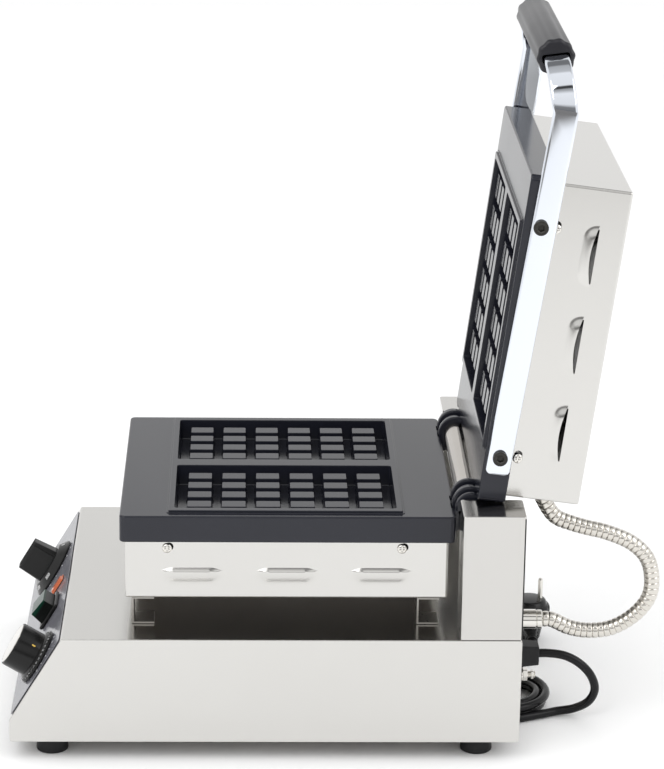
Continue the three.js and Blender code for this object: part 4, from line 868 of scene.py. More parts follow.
# What bright metal mirrors, by half turns from the level +X direction up and over to the level -X direction
ROOM = [
    (0.0, 0.2), (0.04, 0.25), (0.075, 0.9), (0.21, 1.0), (0.245, 0.5), (0.265, 0.4), (0.275, 0.06), (0.3, 0.06),
    (0.315, 0.95), (0.485, 1.0), (0.515, 0.6), (0.61, 0.5), (0.635, 0.2), (0.72, 0.2), (0.76, 0.85), (0.93, 1.0),
    (1.0, 0.97),
]


def make_light():
    world = bpy.data.worlds.new("studio")
    scene.world = world
    world.use_nodes = True
    tree = world.node_tree
    tree.nodes.clear()
    direction = add_node(tree, "ShaderNodeSeparateXYZ")
    tree.links.new(add_node(tree, "ShaderNodeTexCoord").outputs["Generated"], direction.inputs[0])
    height = math_node(tree, "ABSOLUTE", direction.outputs["Z"])
    turn = math_node(tree, "DIVIDE", math_node(tree, "ARCTAN2", height, direction.outputs["X"]), math.pi)
    sideways = add_node(tree, "ShaderNodeMapRange")
    tree.links.new(math_node(tree, "ABSOLUTE", direction.outputs["Y"]), sideways.inputs["Value"])
    sideways.inputs["From Min"].default_value = 0.4
    sideways.inputs["From Max"].default_value = 0.65
    room = add_node(tree, "ShaderNodeMix", data_type="RGBA")
    tree.links.new(sideways.outputs["Result"], room.inputs["Factor"])
    tree.links.new(ramp(tree, turn, ROOM), room.inputs["A"])
    room.inputs["B"].default_value = (1, 1, 1, 1)
    path = add_node(tree, "ShaderNodeLightPath")
    mirrored = add_node(tree, "ShaderNodeMix", data_type="RGBA")
    tree.links.new(path.outputs["Is Glossy Ray"], mirrored.inputs["Factor"])
    mirrored.inputs["A"].default_value = (1, 1, 1, 1)
    tree.links.new(room.outputs["Result"], mirrored.inputs["B"])
    background = add_node(tree, "ShaderNodeBackground")
    output = add_node(tree, "ShaderNodeOutputWorld")
    tree.links.new(mirrored.outputs["Result"], background.inputs["Color"])
    tree.links.new(background.outputs[0], output.inputs["Surface"])
    area_lamp("key", (1.6, -1.2, 2.2), (0, 0, 0.2), 1.8, 20)
    area_lamp("rear_fill", (0.8, 1.9, 1.6), (0, 0, 0.2), 1.5, 12)


def area_lamp(name, place, target, size, power):
    data = bpy.data.lights.new(name, "AREA")
    data.size = size
    data.energy = power
    lamp = bpy.data.objects.new(name, data)
    lamp.location = place
    direction = Vector(target) - Vector(place)
    lamp.rotation_euler = direction.to_track_quat("-Z", "Y").to_euler()
    scene.collection.objects.link(lamp)


# Conduit: ribbed metal hose from the base's connector to the lid housing, y from the rear wall

CONDUIT_X = 80 * MM
CONDUIT_Z = 93.5 * MM
CONDUIT_RADIUS = 6.5 * MM
CONDUIT_VALLEY = 5.75 * MM
CONDUIT_PITCH = 4.8 * MM
RIB_STEPS = 10.0
CONDUIT_START = 23.2 * MM
CONDUIT_ENTRY = Vector((80, 56, 14.8)) * MM
CONDUIT_LEAN = Vector((0, 3.6, -7)) * MM
CONDUIT_SWING = [
    (0.046, 0.0862),
    (0.062, 0.0836),
    (0.0808, 0.0862),
    (0.0995, 0.0978),
    (0.1107, 0.1135),
    (0.1124, 0.1305),
    (0.1075, 0.148),
    (0.0945, 0.161),
    (0.0721, 0.1707),
    (0.0582, 0.1741),
    (0.0444, 0.1781),
    (0.0302, 0.1845),
]


def conduit_path():
    tube = CONDUIT_RADIUS
    lower = Vector((CONDUIT_X, CONDUIT_START, CONDUIT_Z)) + from_rear
    upper = lid_place @ CONDUIT_ENTRY
    upper_straight = lid_place @ (CONDUIT_ENTRY + CONDUIT_LEAN)
    swing = [Vector((CONDUIT_X, y, z)) + from_rear for y, z in CONDUIT_SWING]
    return through([lower, lower + Vector((0, tube, 0)), *swing, upper_straight, upper], 10)


def ribbed_tree():
    """Skins a run of points with a round section whose radius swells once every pitch."""
    tree, entry, last = geometry_tree(
        "ribbed_hose",
        ("Run", "NodeSocketGeometry", None),
        ("Pitch", "NodeSocketFloat", 0.004),
        ("Crest", "NodeSocketFloat", 0.0066),
        ("Valley", "NodeSocketFloat", 0.0057),
    )
    curve = add_node(tree, "GeometryNodeMeshToCurve")
    tree.links.new(entry.outputs["Run"], curve.inputs["Mesh"])
    step = math_node(tree, "DIVIDE", entry.outputs["Pitch"], RIB_STEPS)
    dense = add_node(tree, "GeometryNodeResampleCurve", mode="LENGTH")
    tree.links.new(curve.outputs["Curve"], dense.inputs["Curve"])
    tree.links.new(step, dense.inputs["Length"])
    place_along = add_node(tree, "GeometryNodeInputIndex").outputs["Index"]
    phase = math_node(tree, "DIVIDE", place_along, RIB_STEPS)
    wave = math_node(tree, "ABSOLUTE", math_node(tree, "SINE", math_node(tree, "MULTIPLY", phase, math.pi)))
    swell = math_node(tree, "POWER", wave, 0.2)
    depth = math_node(tree, "SUBTRACT", entry.outputs["Crest"], entry.outputs["Valley"])
    radius = math_node(tree, "ADD", entry.outputs["Valley"], math_node(tree, "MULTIPLY", swell, depth))
    section = add_node(tree, "GeometryNodeCurvePrimitiveCircle")
    section.inputs["Resolution"].default_value = 28
    section.inputs["Radius"].default_value = 1.0
    skin = add_node(tree, "GeometryNodeCurveToMesh")
    skin.inputs["Fill Caps"].default_value = True
    tree.links.new(section.outputs["Curve"], skin.inputs["Profile Curve"])
    if "Scale" in skin.inputs:
        tree.links.new(dense.outputs["Curve"], skin.inputs["Curve"])
        tree.links.new(radius, skin.inputs["Scale"])
    else:
        sized = add_node(tree, "GeometryNodeSetCurveRadius")
        tree.links.new(dense.outputs["Curve"], sized.inputs["Curve"])
        tree.links.new(radius, sized.inputs["Radius"])
        tree.links.new(sized.outputs["Curve"], skin.inputs["Curve"])
    tree.links.new(skin.outputs["Mesh"], last)
    return tree


def make_conduit():
    points = conduit_path()
    mesh = bpy.data.meshes.new("conduit_run")
    mesh.from_pydata([tuple(point) for point in points], [(i, i + 1) for i in range(len(points) - 1)], [])
    hose = new_object("ribbed_conduit", mesh)
    with_tree(
        hose, ribbed_tree(), Pitch=CONDUIT_PITCH, Crest=CONDUIT_RADIUS, Valley=CONDUIT_VALLEY, Finish=CONDUIT_STEEL,
    )
    face_outward(hose.data)
    smooth(hose.data, 60)
    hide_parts("conduit")
    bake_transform(hose)


# Grid castings, in grid directions

PLATE_BOX = (-126.5, 126.5, 12.4, 282.3)
PLATE_FACE = 2.4
PLATE_BACK = 24.7
PLATE_CORNER = 4.5
PLATE_EDGE = 1.4
RIM_BOX = (-119.5, 119.5, 53.2, 244.7)
RIM_CORNER = 3
RIM_STEP = 1.6
RIM_TOP = 0.2
RIM_EDGE = 0.45
WELL_ACROSS = (7.7, 111.5)
WELL_ALONG = (59.6, 238.4)
WELL_CORNER = 2.6
WELL_EDGE = 0.5
WELL_FLOOR = 17.4
WELL_FILLET = 0.9
DRAFT = 1
POST_HALF_X = 7.1
POST_HALF_R = 9.7
POST_PITCH_X = 22.65
POST_PITCH_R = 27.9
POST_TOP = 3.3
POST_CORNER = 1.2
POST_EDGE = 0.5
KNUCKLE_RADIUS = 14.5
KNUCKLE_RADIUS_LOWER = 12.4
KNUCKLE_EDGE = 1.9
KNUCKLE_WIDTH = 6.6
KNUCKLE_GAP = 2.5
KNUCKLE_START = 77.1
KNUCKLE_RELIEF = 15.4
BORE_RADIUS = 6.3
WEB = [(7.5, 1.6), (17.4, 3.6), (17.4, 23.5), (0, 14.3), (1.5, 8.5)]
SIDE_ON = Matrix(((0, 0, 1, 0), (1, 0, 0, 0), (0, 1, 0, 0), (0, 0, 0, 1)))
KNUCKLES_PER_GROUP = 4


def knuckle_starts(first):
    """Lower ends, in x, of every other knuckle of both groups."""
    pitch = KNUCKLE_WIDTH + KNUCKLE_GAP
    right = [KNUCKLE_START + i * pitch for i in range(first, KNUCKLES_PER_GROUP, 2)]
    return [*right, *(-start - KNUCKLE_WIDTH for start in right)]


def well_rings(skin, box):
    lip = turn_over(box, WELL_CORNER, RIM_TOP, WELL_EDGE, 0, 1, -1)
    foot = turn_over(box, WELL_CORNER, WELL_FLOOR, WELL_FILLET, -DRAFT, -1)
    skin.run([*reversed(lip), *foot], False, True)
    return lip[-1]


def casting_shell(name):
    skin = Skin()
    back = turn_over(PLATE_BOX, PLATE_CORNER, PLATE_BACK, PLATE_EDGE, 0, -1)
    face = turn_over(PLATE_BOX, PLATE_CORNER, PLATE_FACE, PLATE_EDGE, 0, 1)
    skin.run([*reversed(back), *face], True, False)
    step_top = RIM_TOP + RIM_STEP
    foot = [plan(RIM_BOX, RIM_CORNER, PLATE_FACE), *turn_over(RIM_BOX, RIM_CORNER, step_top, RIM_EDGE, 0, 1)]
    rim = [
        plan(RIM_BOX, RIM_CORNER, step_top, -RIM_STEP),
        *turn_over(RIM_BOX, RIM_CORNER, RIM_TOP, RIM_EDGE, -RIM_STEP, 1),
    ]
    skin.plate(face[-1], foot[0])
    skin.run([*foot, *rim], False, False)
    inner, outer = WELL_ACROSS
    lips = [well_rings(skin, box) for box in ((inner, outer, *WELL_ALONG), (-outer, -inner, *WELL_ALONG))]
    skin.plate(rim[-1], *lips)
    return skin.made(name)


def grid_posts(name):
    box = (-POST_HALF_X, POST_HALF_X, -POST_HALF_R, POST_HALF_R)
    top = turn_over(box, POST_CORNER, POST_TOP, POST_EDGE, 0, 1, steps=3, corner_steps=3)
    foot = turn_over(box, POST_CORNER, WELL_FLOOR, POST_EDGE, DRAFT, -1, -1, steps=3, corner_steps=3)
    under = plan(box, POST_CORNER, WELL_FLOOR + POST_EDGE, DRAFT + POST_EDGE, 3)
    post = Skin().run([*reversed(top), *foot, under]).made(name)
    return with_tree(
        post, POST_FIELD,
        Posts_Across=4, Posts_Along=6, Pitch_Across=POST_PITCH_X * MM, Pitch_Along=POST_PITCH_R * MM,
        Well_Across=sum(WELL_ACROSS) / 2 * MM, Well_Along=sum(WELL_ALONG) / 2 * MM, Finish=CAST_IRON,
    )


def ear(name, high):
    """One hinge knuckle, from its own start along x, with the web that carries it."""
    edge = KNUCKLE_EDGE
    width = KNUCKLE_WIDTH
    profile = [
        (BORE_RADIUS, 0), (high - edge, 0), (high - 0.3 * edge, 0.3 * edge), (high, edge),
        (high, width - edge), (high - 0.3 * edge, width - 0.3 * edge), (high - edge, width), (BORE_RADIUS, width),
    ]
    ring = turned(name + "_ring", profile, 48, along_x)
    web = bevel(prism(name + "_web", WEB, 0, width, SIDE_ON), 0.6)
    return joined(name, ring, web)


def grid_casting(name, own, other, knuckle_radius, place, body, node):
    shell = casting_shell(name + "_shell")
    clearance = KNUCKLE_GAP
    reliefs = [
        rod(f"{name}_relief_{i}", KNUCKLE_RELIEF, start - clearance, start + KNUCKLE_WIDTH + clearance, along_x, 0, 48)
        for i, start in enumerate(knuckle_starts(other))
    ]
    cut_away(shell, *reliefs)
    spots = [((start, 0, 0), (0, 0, 0)) for start in knuckle_starts(own)]
    ears = set_out(name + "_ears", ear(name + "_ear", knuckle_radius), spots, still, CAST_IRON)
    casting = joined(name, shell, grid_posts(name + "_posts"), ears)
    casting.data.transform(place)
    return dress(weighted(casting), body, "cast_iron", CAST_IRON, node)


def make_castings():
    grid_casting("lower_grid_casting", 1, 0, KNUCKLE_RADIUS_LOWER, lower_grid, BASE, "lower_plate")
    grid_casting("lid_grid_casting", 0, 1, KNUCKLE_RADIUS, lid_grid, LID, "lid_plate")


# Housings of the heaters, in grid directions

HOUSING_HALF = 123
HOUSING_ENDS = (18, 278)
HOUSING_BOX = (-HOUSING_HALF, HOUSING_HALF, *HOUSING_ENDS)
HOUSING_FRONT = 25
MOUTH_INSET = 0.86
HOUSING_SHEET = 1.2
HOUSING_FOLD = 2
HOOD_LENGTH = 52
HOOD_SHEET = 1
HOOD_SEAT = 0.03
HOOD_CLOSURE = 2.6
SLOT_RADIUS = 3.5
LOWER_HOUSING = {
    "back": 73.5, "rows": (224.4, 147.7, 71.8), "mouth": 49.8, "height": 12, "rise": 2, "fade": 0, "mouthward": -1,
    "recess": 0, "open_mouths": False, "slots": ((242.4, 29.4), (53.6, 29.4)),
}
LID_HOUSING = {
    "back": 83.9, "rows": (223, 149, 75), "mouth": 62.6, "height": 12, "rise": 2.5, "fade": 0.75, "mouthward": 1,
    "recess": 4.4, "open_mouths": True, "slots": ((244.4, 29), (54, 29)),
}


def hood_outline(height, ends=8, middle=12):
    """Points of the half-round foot line and the points of the mouth line nearest to them."""
    reach = HOOD_LENGTH / 2 - height
    pairs = []
    for side in (-1, 1):
        for i in range(ends + 1):
            angle = QUARTER_TURN * (i if side < 0 else ends - i) / ends
            foot = (side * (reach + height * math.cos(angle)), height * math.sin(angle))
            pairs.append((foot, (side * reach, 0)))
        if side < 0:
            for i in range(1, middle):
                along = -reach + 2 * reach * i / middle
                pairs.append(((along, height), (along, 0)))
    return pairs


def laid_flat(ring, rise):
    """A hood's section pressed down to the sheet, its raised points moved past the mouth line."""
    outside = [
        (-HOOD_SEAT, y, z - HOOD_CLOSURE * (x + HOOD_SEAT) / rise) for x, y, z in ring[:len(ring) // 2]
    ]
    return outside + [(x - HOOD_SHEET, y, z) for x, y, z in reversed(outside)]


def hood(name, height, rise, fade, recess, opened, steps=10):
    """Pressed louvre hood: x out of the sheet, y along it, z from mouth to root; both ends lower by the fade."""
    rings = []
    for (foot_y, foot_z), (mouth_y, mouth_z) in hood_outline(height):
        outside = []
        for i in range(steps + 1):
            part = i / steps
            y = mouth_y + part * (foot_y - mouth_y)
            z = mouth_z + part * (foot_z - mouth_z)
            eased = part ** 1.35
            swell = 1 - eased * eased * (3 - 2 * eased)
            z += recess * (1 - (2 * y / HOOD_LENGTH) ** 2) * (1 - z / height)
            lowered = 1 - fade * (2 * y / HOOD_LENGTH) ** 4
            outside.append((rise * lowered * swell - HOOD_SEAT, y, z))
        if not opened:
            outside.insert(0, (-HOOD_SEAT, mouth_y, mouth_z - HOOD_CLOSURE))
        inside = [(x - HOOD_SHEET, y, z) for x, y, z in reversed(outside)]
        rings.append(outside + inside)
    if not opened:
        rings = [laid_flat(rings[0], rise), *rings, laid_flat(rings[-1], rise)]
    return Skin().run(rings).made(name, still, 50)


def mouth_cutter(name, row, mouth, height, mouthward):
    """Opening in both side walls behind one row's hoods."""
    outline = [
        (row + MOUTH_INSET * y, mouth - mouthward * MOUTH_INSET * z) for (y, z), _ in hood_outline(height)
    ]
    return prism(name, outline, -HOUSING_HALF - HOUSING_SHEET, HOUSING_HALF + HOUSING_SHEET, SIDE_ON)


def housing(name, place, body, node, back, rows, mouth, height, rise, fade, mouthward, recess, open_mouths, slots):
    low, high = HOUSING_ENDS
    inner = (-HOUSING_HALF + HOUSING_SHEET, HOUSING_HALF - HOUSING_SHEET, low + HOUSING_SHEET, high - HOUSING_SHEET)
    fold = turn_over(HOUSING_BOX, HOUSING_FOLD, back, HOUSING_FOLD - 0.1, 0, -1)
    shell = Skin().run([
        plan(inner, HOUSING_FOLD - HOUSING_SHEET, back - HOUSING_SHEET),
        plan(inner, HOUSING_FOLD - HOUSING_SHEET, HOUSING_FRONT),
        plan(HOUSING_BOX, HOUSING_FOLD, HOUSING_FRONT),
        *fold,
    ]).made(name + "_shell")
    pierced = rows if open_mouths else ()
    cutters = [mouth_cutter(f"{name}_mouth_{i}", row, mouth, height, mouthward) for i, row in enumerate(pierced)]
    past = HOUSING_HALF + HOUSING_SHEET
    for i, (row, depth) in enumerate(slots):
        at_slot = Matrix.Translation((0, row * MM, depth * MM)) @ along_x
        cutters.append(rod(f"{name}_slot_{i}", SLOT_RADIUS, -past, past, at_slot, 0, 24))
    cut_away(shell, *cutters)
    tip = HALF_TURN if mouthward > 0 else 0
    spots = []
    for row in rows:
        spots.append(((HOUSING_HALF, row, mouth), (tip, 0, 0)))
        spots.append(((-HOUSING_HALF, row, mouth), (tip, 0, HALF_TURN)))
    one_hood = hood(name + "_hood", height, rise, fade, recess, open_mouths)
    hoods = set_out(name + "_hoods", one_hood, spots, still, STAINLESS)
    piece = joined(name, shell, hoods)
    piece.data.transform(place)
    return dress(weighted(piece, 45), body, "stainless", STAINLESS, node)


def make_underside():
    """Dark sheet laid on the lower housing's underside; its dark brown colour is painted shade."""
    box = (-118, 118, 23, 273)
    back = LOWER_HOUSING["back"]
    sheet = Skin().run([plan(box, 3, back - 0.4), *reversed(turn_over(box, 3, back + 0.12, 0.1, 0, -1))])
    dress(sheet.made("lower_housing_underside", lower_grid), BASE, "galvanised", UNDERSIDE_PAINTED_SHADE)


def make_housings():
    housing("lower_housing_sheet", lower_grid, BASE, "lower_housing", **LOWER_HOUSING)
    housing("lid_housing_sheet", lid_grid, LID, "lid_housing", **LID_HOUSING)
    make_underside()


# Screws and bolts

SCREW_RADIUS = 4
SCREW_HEIGHT = 2.2
SCREW_SHANK = 9
CROSS_LENGTH = 4.4
CROSS_WIDTH = 1
CROSS_DEPTH = 1.2
SCREW_FACE = 123.3
BOLT_RADIUS = 6
BOLT_HEIGHT = 3.2
BOLT_SOCKET = 2.9
BOLT_SOCKET_DEPTH = 2.2
BOLT_SHANK = 13
BOLT_FACE = 132.1
LOWER_SCREWS = ((244.1, 30.5), (55.3, 30.5))
LID_SCREWS = ((29, 241.4), (29, 51))
HANDLE_BOLTS = ((14, 52.1), (15.6, 243))


def cross_screw(name):
    """Domed screw with a cross recess, head from z 0 upward."""
    dome = []
    for i in range(7):
        angle = QUARTER_TURN * i / 6
        dome.append((SCREW_RADIUS * math.cos(angle), 0.5 + (SCREW_HEIGHT - 0.5) * math.sin(angle)))
    head = turned(name, [
        (0, -SCREW_SHANK), (2, -SCREW_SHANK), (2, 0), (SCREW_RADIUS - 0.2, 0), (SCREW_RADIUS, 0.2), *dome,
    ], 40)
    floor = SCREW_HEIGHT - CROSS_DEPTH
    arms = [
        prism(f"{name}_arm_{i}", [(-a, -b), (a, -b), (a, b), (-a, b)], floor, SCREW_HEIGHT + 1)
        for i, (a, b) in enumerate(((CROSS_LENGTH / 2, CROSS_WIDTH / 2), (CROSS_WIDTH / 2, CROSS_LENGTH / 2)))
    ]
    return cut_away(head, *arms)


def socket_bolt(name):
    """Cap bolt with a hexagon socket, head from z 0 upward."""
    edge = 0.7
    profile = [(0, -BOLT_SHANK), (3, -BOLT_SHANK), (3, 0), *round_profile(BOLT_RADIUS, 0, BOLT_HEIGHT, edge)[1:]]
    floor = BOLT_HEIGHT - BOLT_SOCKET_DEPTH
    return cut_away(turned(name, profile, 48), prism(name + "_key", ring_points(6, BOLT_SOCKET), floor, BOLT_HEIGHT + 1))


def both_sides(face, spots):
    return [
        ((sign * face, *spot), turn) for spot in spots for sign, turn in ((1, OUT_RIGHT), (-1, OUT_LEFT))
    ]


def make_fasteners():
    ends = [f"{end}_{side}" for end in ("front", "rear") for side in ("right", "left")]
    lower = set_out("lower_screws", cross_screw("lower_screw"), both_sides(SCREW_FACE, LOWER_SCREWS), lower_grid, NICKEL)
    dress(lower, BASE, "nickel", NICKEL, *(f"lower_screw_{end}" for end in ends))
    upper = set_out("lid_screws", cross_screw("lid_screw"), both_sides(SCREW_FACE, LID_SCREWS), lid_place, NICKEL)
    dress(upper, LID, "nickel", NICKEL, *(f"lid_screw_{end}" for end in ends))
    bolts = set_out("handle_bolts", socket_bolt("handle_bolt"), both_sides(BOLT_FACE, HANDLE_BOLTS), lid_place, BLACK_STEEL)
    dress(bolts, LID, "black_steel", BLACK_STEEL, *(f"handle_bolt_{end}" for end in ends))


# Handle, in lid directions

BAR_MIDDLE_X = 129.3
BAR_HALF_WIDTH = 10
BAR_HALF_THICKNESS = 2.5
BAR_EDGE = 2.4
BAR_END_CORNER = 4
BAR_LOW = (13.74, 37.6)
BAR_BEND = (20.4, 333)
BAR_CORNER = 37
BAR_TILT = math.radians(15)
GRIP_HALF = 92
GRIP_RADIUS = 15.3
GRIP_LOBES = 10
GRIP_FLUTE = 0.9
GRIP_END = 3
GRIP_SLOT = (11, 3.5)
bar_up = Vector((0, -math.sin(BAR_TILT), math.cos(BAR_TILT)))
bar_across = Vector((0, math.cos(BAR_TILT), math.sin(BAR_TILT)))
grip_middle = Vector((0, *BAR_BEND)) + bar_up * BAR_CORNER


def bar_section(place, wide, out, half_width=BAR_HALF_WIDTH, half_thickness=BAR_HALF_THICKNESS):
    edge = min(BAR_EDGE, half_width - 0.01, half_thickness - 0.01)
    box = (-half_width, half_width, -half_thickness, half_thickness)
    return [place + wide * a + out * b for a, b, _ in plan(box, edge, 0, steps=4)]


def bar_rings():
    """Sections of the right half of the bar, from its lower end to the middle of the grip."""
    rings = []
    low = Vector((BAR_MIDDLE_X, *BAR_LOW))
    bend = Vector((BAR_MIDDLE_X, *BAR_BEND))
    run = (bend - low).normalized()
    right = Vector((1, 0, 0))
    upright_wide = Vector((0, 1, 0))
    for step in range(7):
        angle = QUARTER_TURN * step / 6
        along = BAR_END_CORNER * (1 - math.cos(angle))
        half_width = BAR_HALF_WIDTH - BAR_END_CORNER * (1 - math.sin(angle))
        half_thickness = BAR_HALF_THICKNESS - 0.7 * (1 - math.sin(angle))
        rings.append(bar_section(low + run * along, upright_wide, right, half_width, half_thickness))
    rings.append(bar_section(low.lerp(bend, 0.5), upright_wide, right))
    rings.append(bar_section(bend - run * 24, upright_wide, right))
    steps = 20
    for i in range(steps + 1):
        angle = QUARTER_TURN * i / steps
        turn = min(1, 0.15 + 1.7 * i / steps)
        eased = turn * turn * (3 - 2 * turn)
        wide = upright_wide.lerp(bar_across, eased).normalized()
        out = right * math.cos(angle) + bar_up * math.sin(angle)
        centre = bend - right * BAR_CORNER * (1 - math.cos(angle)) + bar_up * BAR_CORNER * math.sin(angle)
        rings.append(bar_section(centre, wide, out))
    return rings


def make_bar():
    rings = bar_rings()
    mirrored = [[Vector((-point.x, point.y, point.z)) for point in ring] for ring in reversed(rings)]
    bar = Skin().run(rings + mirrored).made("handle_bar_bent", lid_place, 50)
    dress(bar, LID, "chrome", CHROME, "handle_bar")


def grip_ring(x, shrink):
    sides = GRIP_LOBES * 12
    ring = []
    for i in range(sides):
        angle = FULL_TURN * i / sides
        reach = GRIP_RADIUS - shrink - GRIP_FLUTE * (1 - math.cos(GRIP_LOBES * angle)) / 2
        ring.append((x, reach * math.cos(angle), reach * math.sin(angle)))
    return ring


def make_grip():
    rings = []
    for sign in (-1, 1):
        end = []
        for step in range(6):
            angle = QUARTER_TURN * step / 5
            x = GRIP_HALF - GRIP_END * (1 - math.sin(angle))
            end.append(grip_ring(sign * x, GRIP_END * (1 - math.cos(angle))))
        rings += reversed(end) if sign < 0 else end
    turn = Matrix((Vector((1, 0, 0)), bar_across, bar_up)).transposed().to_4x4()
    place = lid_place @ Matrix.Translation(grip_middle * MM) @ turn
    body = Skin().run(rings).made("handle_grip_moulded", place, 40)
    a, b = GRIP_SLOT
    past = GRIP_HALF + 5
    slot = Skin().run([[(x, *point[:2]) for point in plan((-a, a, -b, b), 2, 0)] for x in (-past, past)])
    cut_away(body, slot.made("grip_slot", place))
    smooth(body.data, 40)
    dress(body, LID, "bakelite", BAKELITE, "handle_grip")


# Controls, in slope directions

PANEL_SURFACE = 0.9
PRINT_LIFT = 0.05
SKIRT_FOOT = 1.6
THERMOSTAT_SKIRT = 27
THERMOSTAT_SHOULDER = 19.5
THERMOSTAT_RIM_TOP = 3.2
THERMOSTAT_SHOULDER_TOP = 8.5
THERMOSTAT_GRIP = (-7.5, 7.5, -14.6, 14.6)
THERMOSTAT_TOP = 27.5
TIMER_SKIRT = 23.5
TIMER_SHOULDER = 19.5
TIMER_SHOULDER_TOP = 6.5
TIMER_BODY = 18.6
TIMER_TOP = 25.5
TIMER_CAP = 17.3


def skirt_profile(radius, rim_top, shoulder, shoulder_top):
    return [
        (0, SKIRT_FOOT), (radius - 0.4, SKIRT_FOOT), (radius, SKIRT_FOOT + 0.4), (radius, rim_top - 0.5),
        (radius - 0.5, rim_top), (shoulder + 0.6, shoulder_top - 0.3), (shoulder - 0.4, shoulder_top),
    ]


def on_skirt(angle, radius, rim_radius, rim_top, shoulder, shoulder_top):
    """Place of a mark on a knob's cone: x along the rim, y up the cone, z out of it."""
    lean = math.atan2(shoulder_top - rim_top, rim_radius - shoulder)
    height = rim_top + (rim_radius - radius) * math.tan(lean)
    outward = Vector((math.cos(angle), math.sin(angle), 0))
    along = Vector((-math.sin(angle), math.cos(angle), 0))
    up = -math.cos(lean) * outward + Vector((0, 0, math.sin(lean)))
    turn = Matrix((along, up, along.cross(up))).transposed().to_4x4()
    return Matrix.Translation((outward * radius + Vector((0, 0, height))) * MM) @ turn


def numeral(text, size, place):
    data = bpy.data.curves.new("numeral_" + text, "FONT")
    data.body = text
    data.size = size * MM
    data.extrude = 0.05 * MM
    data.align_x = "CENTER"
    data.align_y = "CENTER"
    writing = new_object("numeral_" + text, data)
    mesh = bpy.data.meshes.new_from_object(writing.evaluated_get(bpy.context.evaluated_depsgraph_get()))
    bpy.data.objects.remove(writing)
    mesh.transform(place @ Matrix.Translation((0, 0, 0.12 * MM)))
    return new_object("figure_" + text, mesh)


def tick(name, width, length, place):
    """Thin printed bar, its length along y."""
    box = (-width / 2, width / 2, -length / 2, length / 2)
    rings = [plan(box, width / 2.2, height, 0, 2) for height in (0, PRINT_LIFT * 2)]
    return Skin().run(rings).made(name, place)


def make_thermostat_knob():
    cone = (THERMOSTAT_SKIRT, THERMOSTAT_RIM_TOP, THERMOSTAT_SHOULDER, THERMOSTAT_SHOULDER_TOP)
    skirt = turned("thermostat_skirt", [
        *skirt_profile(*cone), (THERMOSTAT_SHOULDER - 1.6, THERMOSTAT_SHOULDER_TOP - 0.4), (0, THERMOSTAT_SHOULDER_TOP - 0.6),
    ], 96)
    corner = 3.6
    top = turn_over(THERMOSTAT_GRIP, corner, THERMOSTAT_TOP, 1.6, -0.6, 1)
    grip = Skin().run([
        plan(THERMOSTAT_GRIP, corner, SKIRT_FOOT + 2, 1.2),
        plan(THERMOSTAT_GRIP, corner, THERMOSTAT_SHOULDER_TOP + 1, 0.9),
        *top,
    ]).made("thermostat_grip")
    knob = joined("thermostat_knob_moulded", skirt, grip)
    knob.data.transform(thermostat_place)
    dress(weighted(knob, 40), THERMOSTAT, "knob_plastic", KNOB, "thermostat_knob")
    marks = []
    for i, text in enumerate(("0", "50", "100", "150", "200", "250", "300")):
        angle = math.radians(90 + 44.5 * i)
        marks.append(numeral(text, 4.2, thermostat_place @ on_skirt(angle, 22.9, *cone)))
    pointer = thermostat_place @ Matrix.Translation((0, 9 * MM, (THERMOSTAT_TOP - 0.02) * MM))
    marks.append(tick("thermostat_pointer", 1.2, 9, pointer))
    dress(joined("thermostat_marks", *marks), THERMOSTAT, "knob_plastic", WHITE_PRINT)


def make_timer_knob():
    cone = (TIMER_SKIRT, THERMOSTAT_RIM_TOP, TIMER_SHOULDER, TIMER_SHOULDER_TOP)
    body = turned("timer_knob_moulded", [
        *skirt_profile(*cone), (TIMER_BODY, TIMER_SHOULDER_TOP), (TIMER_BODY, TIMER_TOP - 1.2),
        (TIMER_BODY - 0.3, TIMER_TOP - 0.4), (TIMER_BODY - 0.9, TIMER_TOP), (TIMER_CAP + 0.3, TIMER_TOP),
        (TIMER_CAP + 0.1, TIMER_TOP - 0.8), (0, TIMER_TOP - 0.8),
    ], 96, timer_place)
    dress(body, TIMER, "knob_plastic", KNOB, "timer_knob")
    dome = [(TIMER_CAP, TIMER_TOP - 0.5), (TIMER_CAP, TIMER_TOP + 0.2), (TIMER_CAP - 0.5, TIMER_TOP + 0.5)]
    for i in range(1, 7):
        part = i / 6
        dome.append(((TIMER_CAP - 0.5) * (1 - part), TIMER_TOP + 0.5 + 0.3 * (1 - (1 - part) ** 2)))
    cap = turned("timer_cap_spun", [(0, TIMER_TOP - 0.5), *dome], 96, timer_place)
    dress(cap, TIMER, "nickel", NICKEL, "timer_cap")
    marks = [
        tick(f"timer_mark_{i}", 2.2, 0.7, timer_place @ on_skirt(math.radians(10 * i), 22.4, *cone))
        for i in range(-9, 28)
    ]
    dress(joined("timer_marks", *marks), TIMER, "knob_plastic", WHITE_PRINT)
    side = Matrix.Rotation(math.radians(42), 4, "Z") @ Matrix.Translation(((TIMER_BODY - 0.06) * MM, 0, 12 * MM))
    mark = tick("timer_side_mark", 1.2, 3.2, timer_place @ side @ along_x @ Matrix.Rotation(QUARTER_TURN, 4, "Z"))
    dress(mark, TIMER, "knob_plastic", YELLOW)


def dial_print(name, place, radius, angles, long_every):
    """Ticks on the panel round one knob."""
    marks = []
    lift = Matrix.Translation((0, 0, PANEL_SURFACE * MM))
    for i, angle in enumerate(angles):
        length = 3.4 if i % long_every == 0 else 2
        turn = Matrix.Rotation(math.radians(angle) - QUARTER_TURN, 4, "Z")
        shift = Matrix.Translation((0, (radius + length / 2) * MM, 0))
        marks.append(tick(f"{name}_{i}", 0.6, length, place @ lift @ turn @ shift))
    return marks


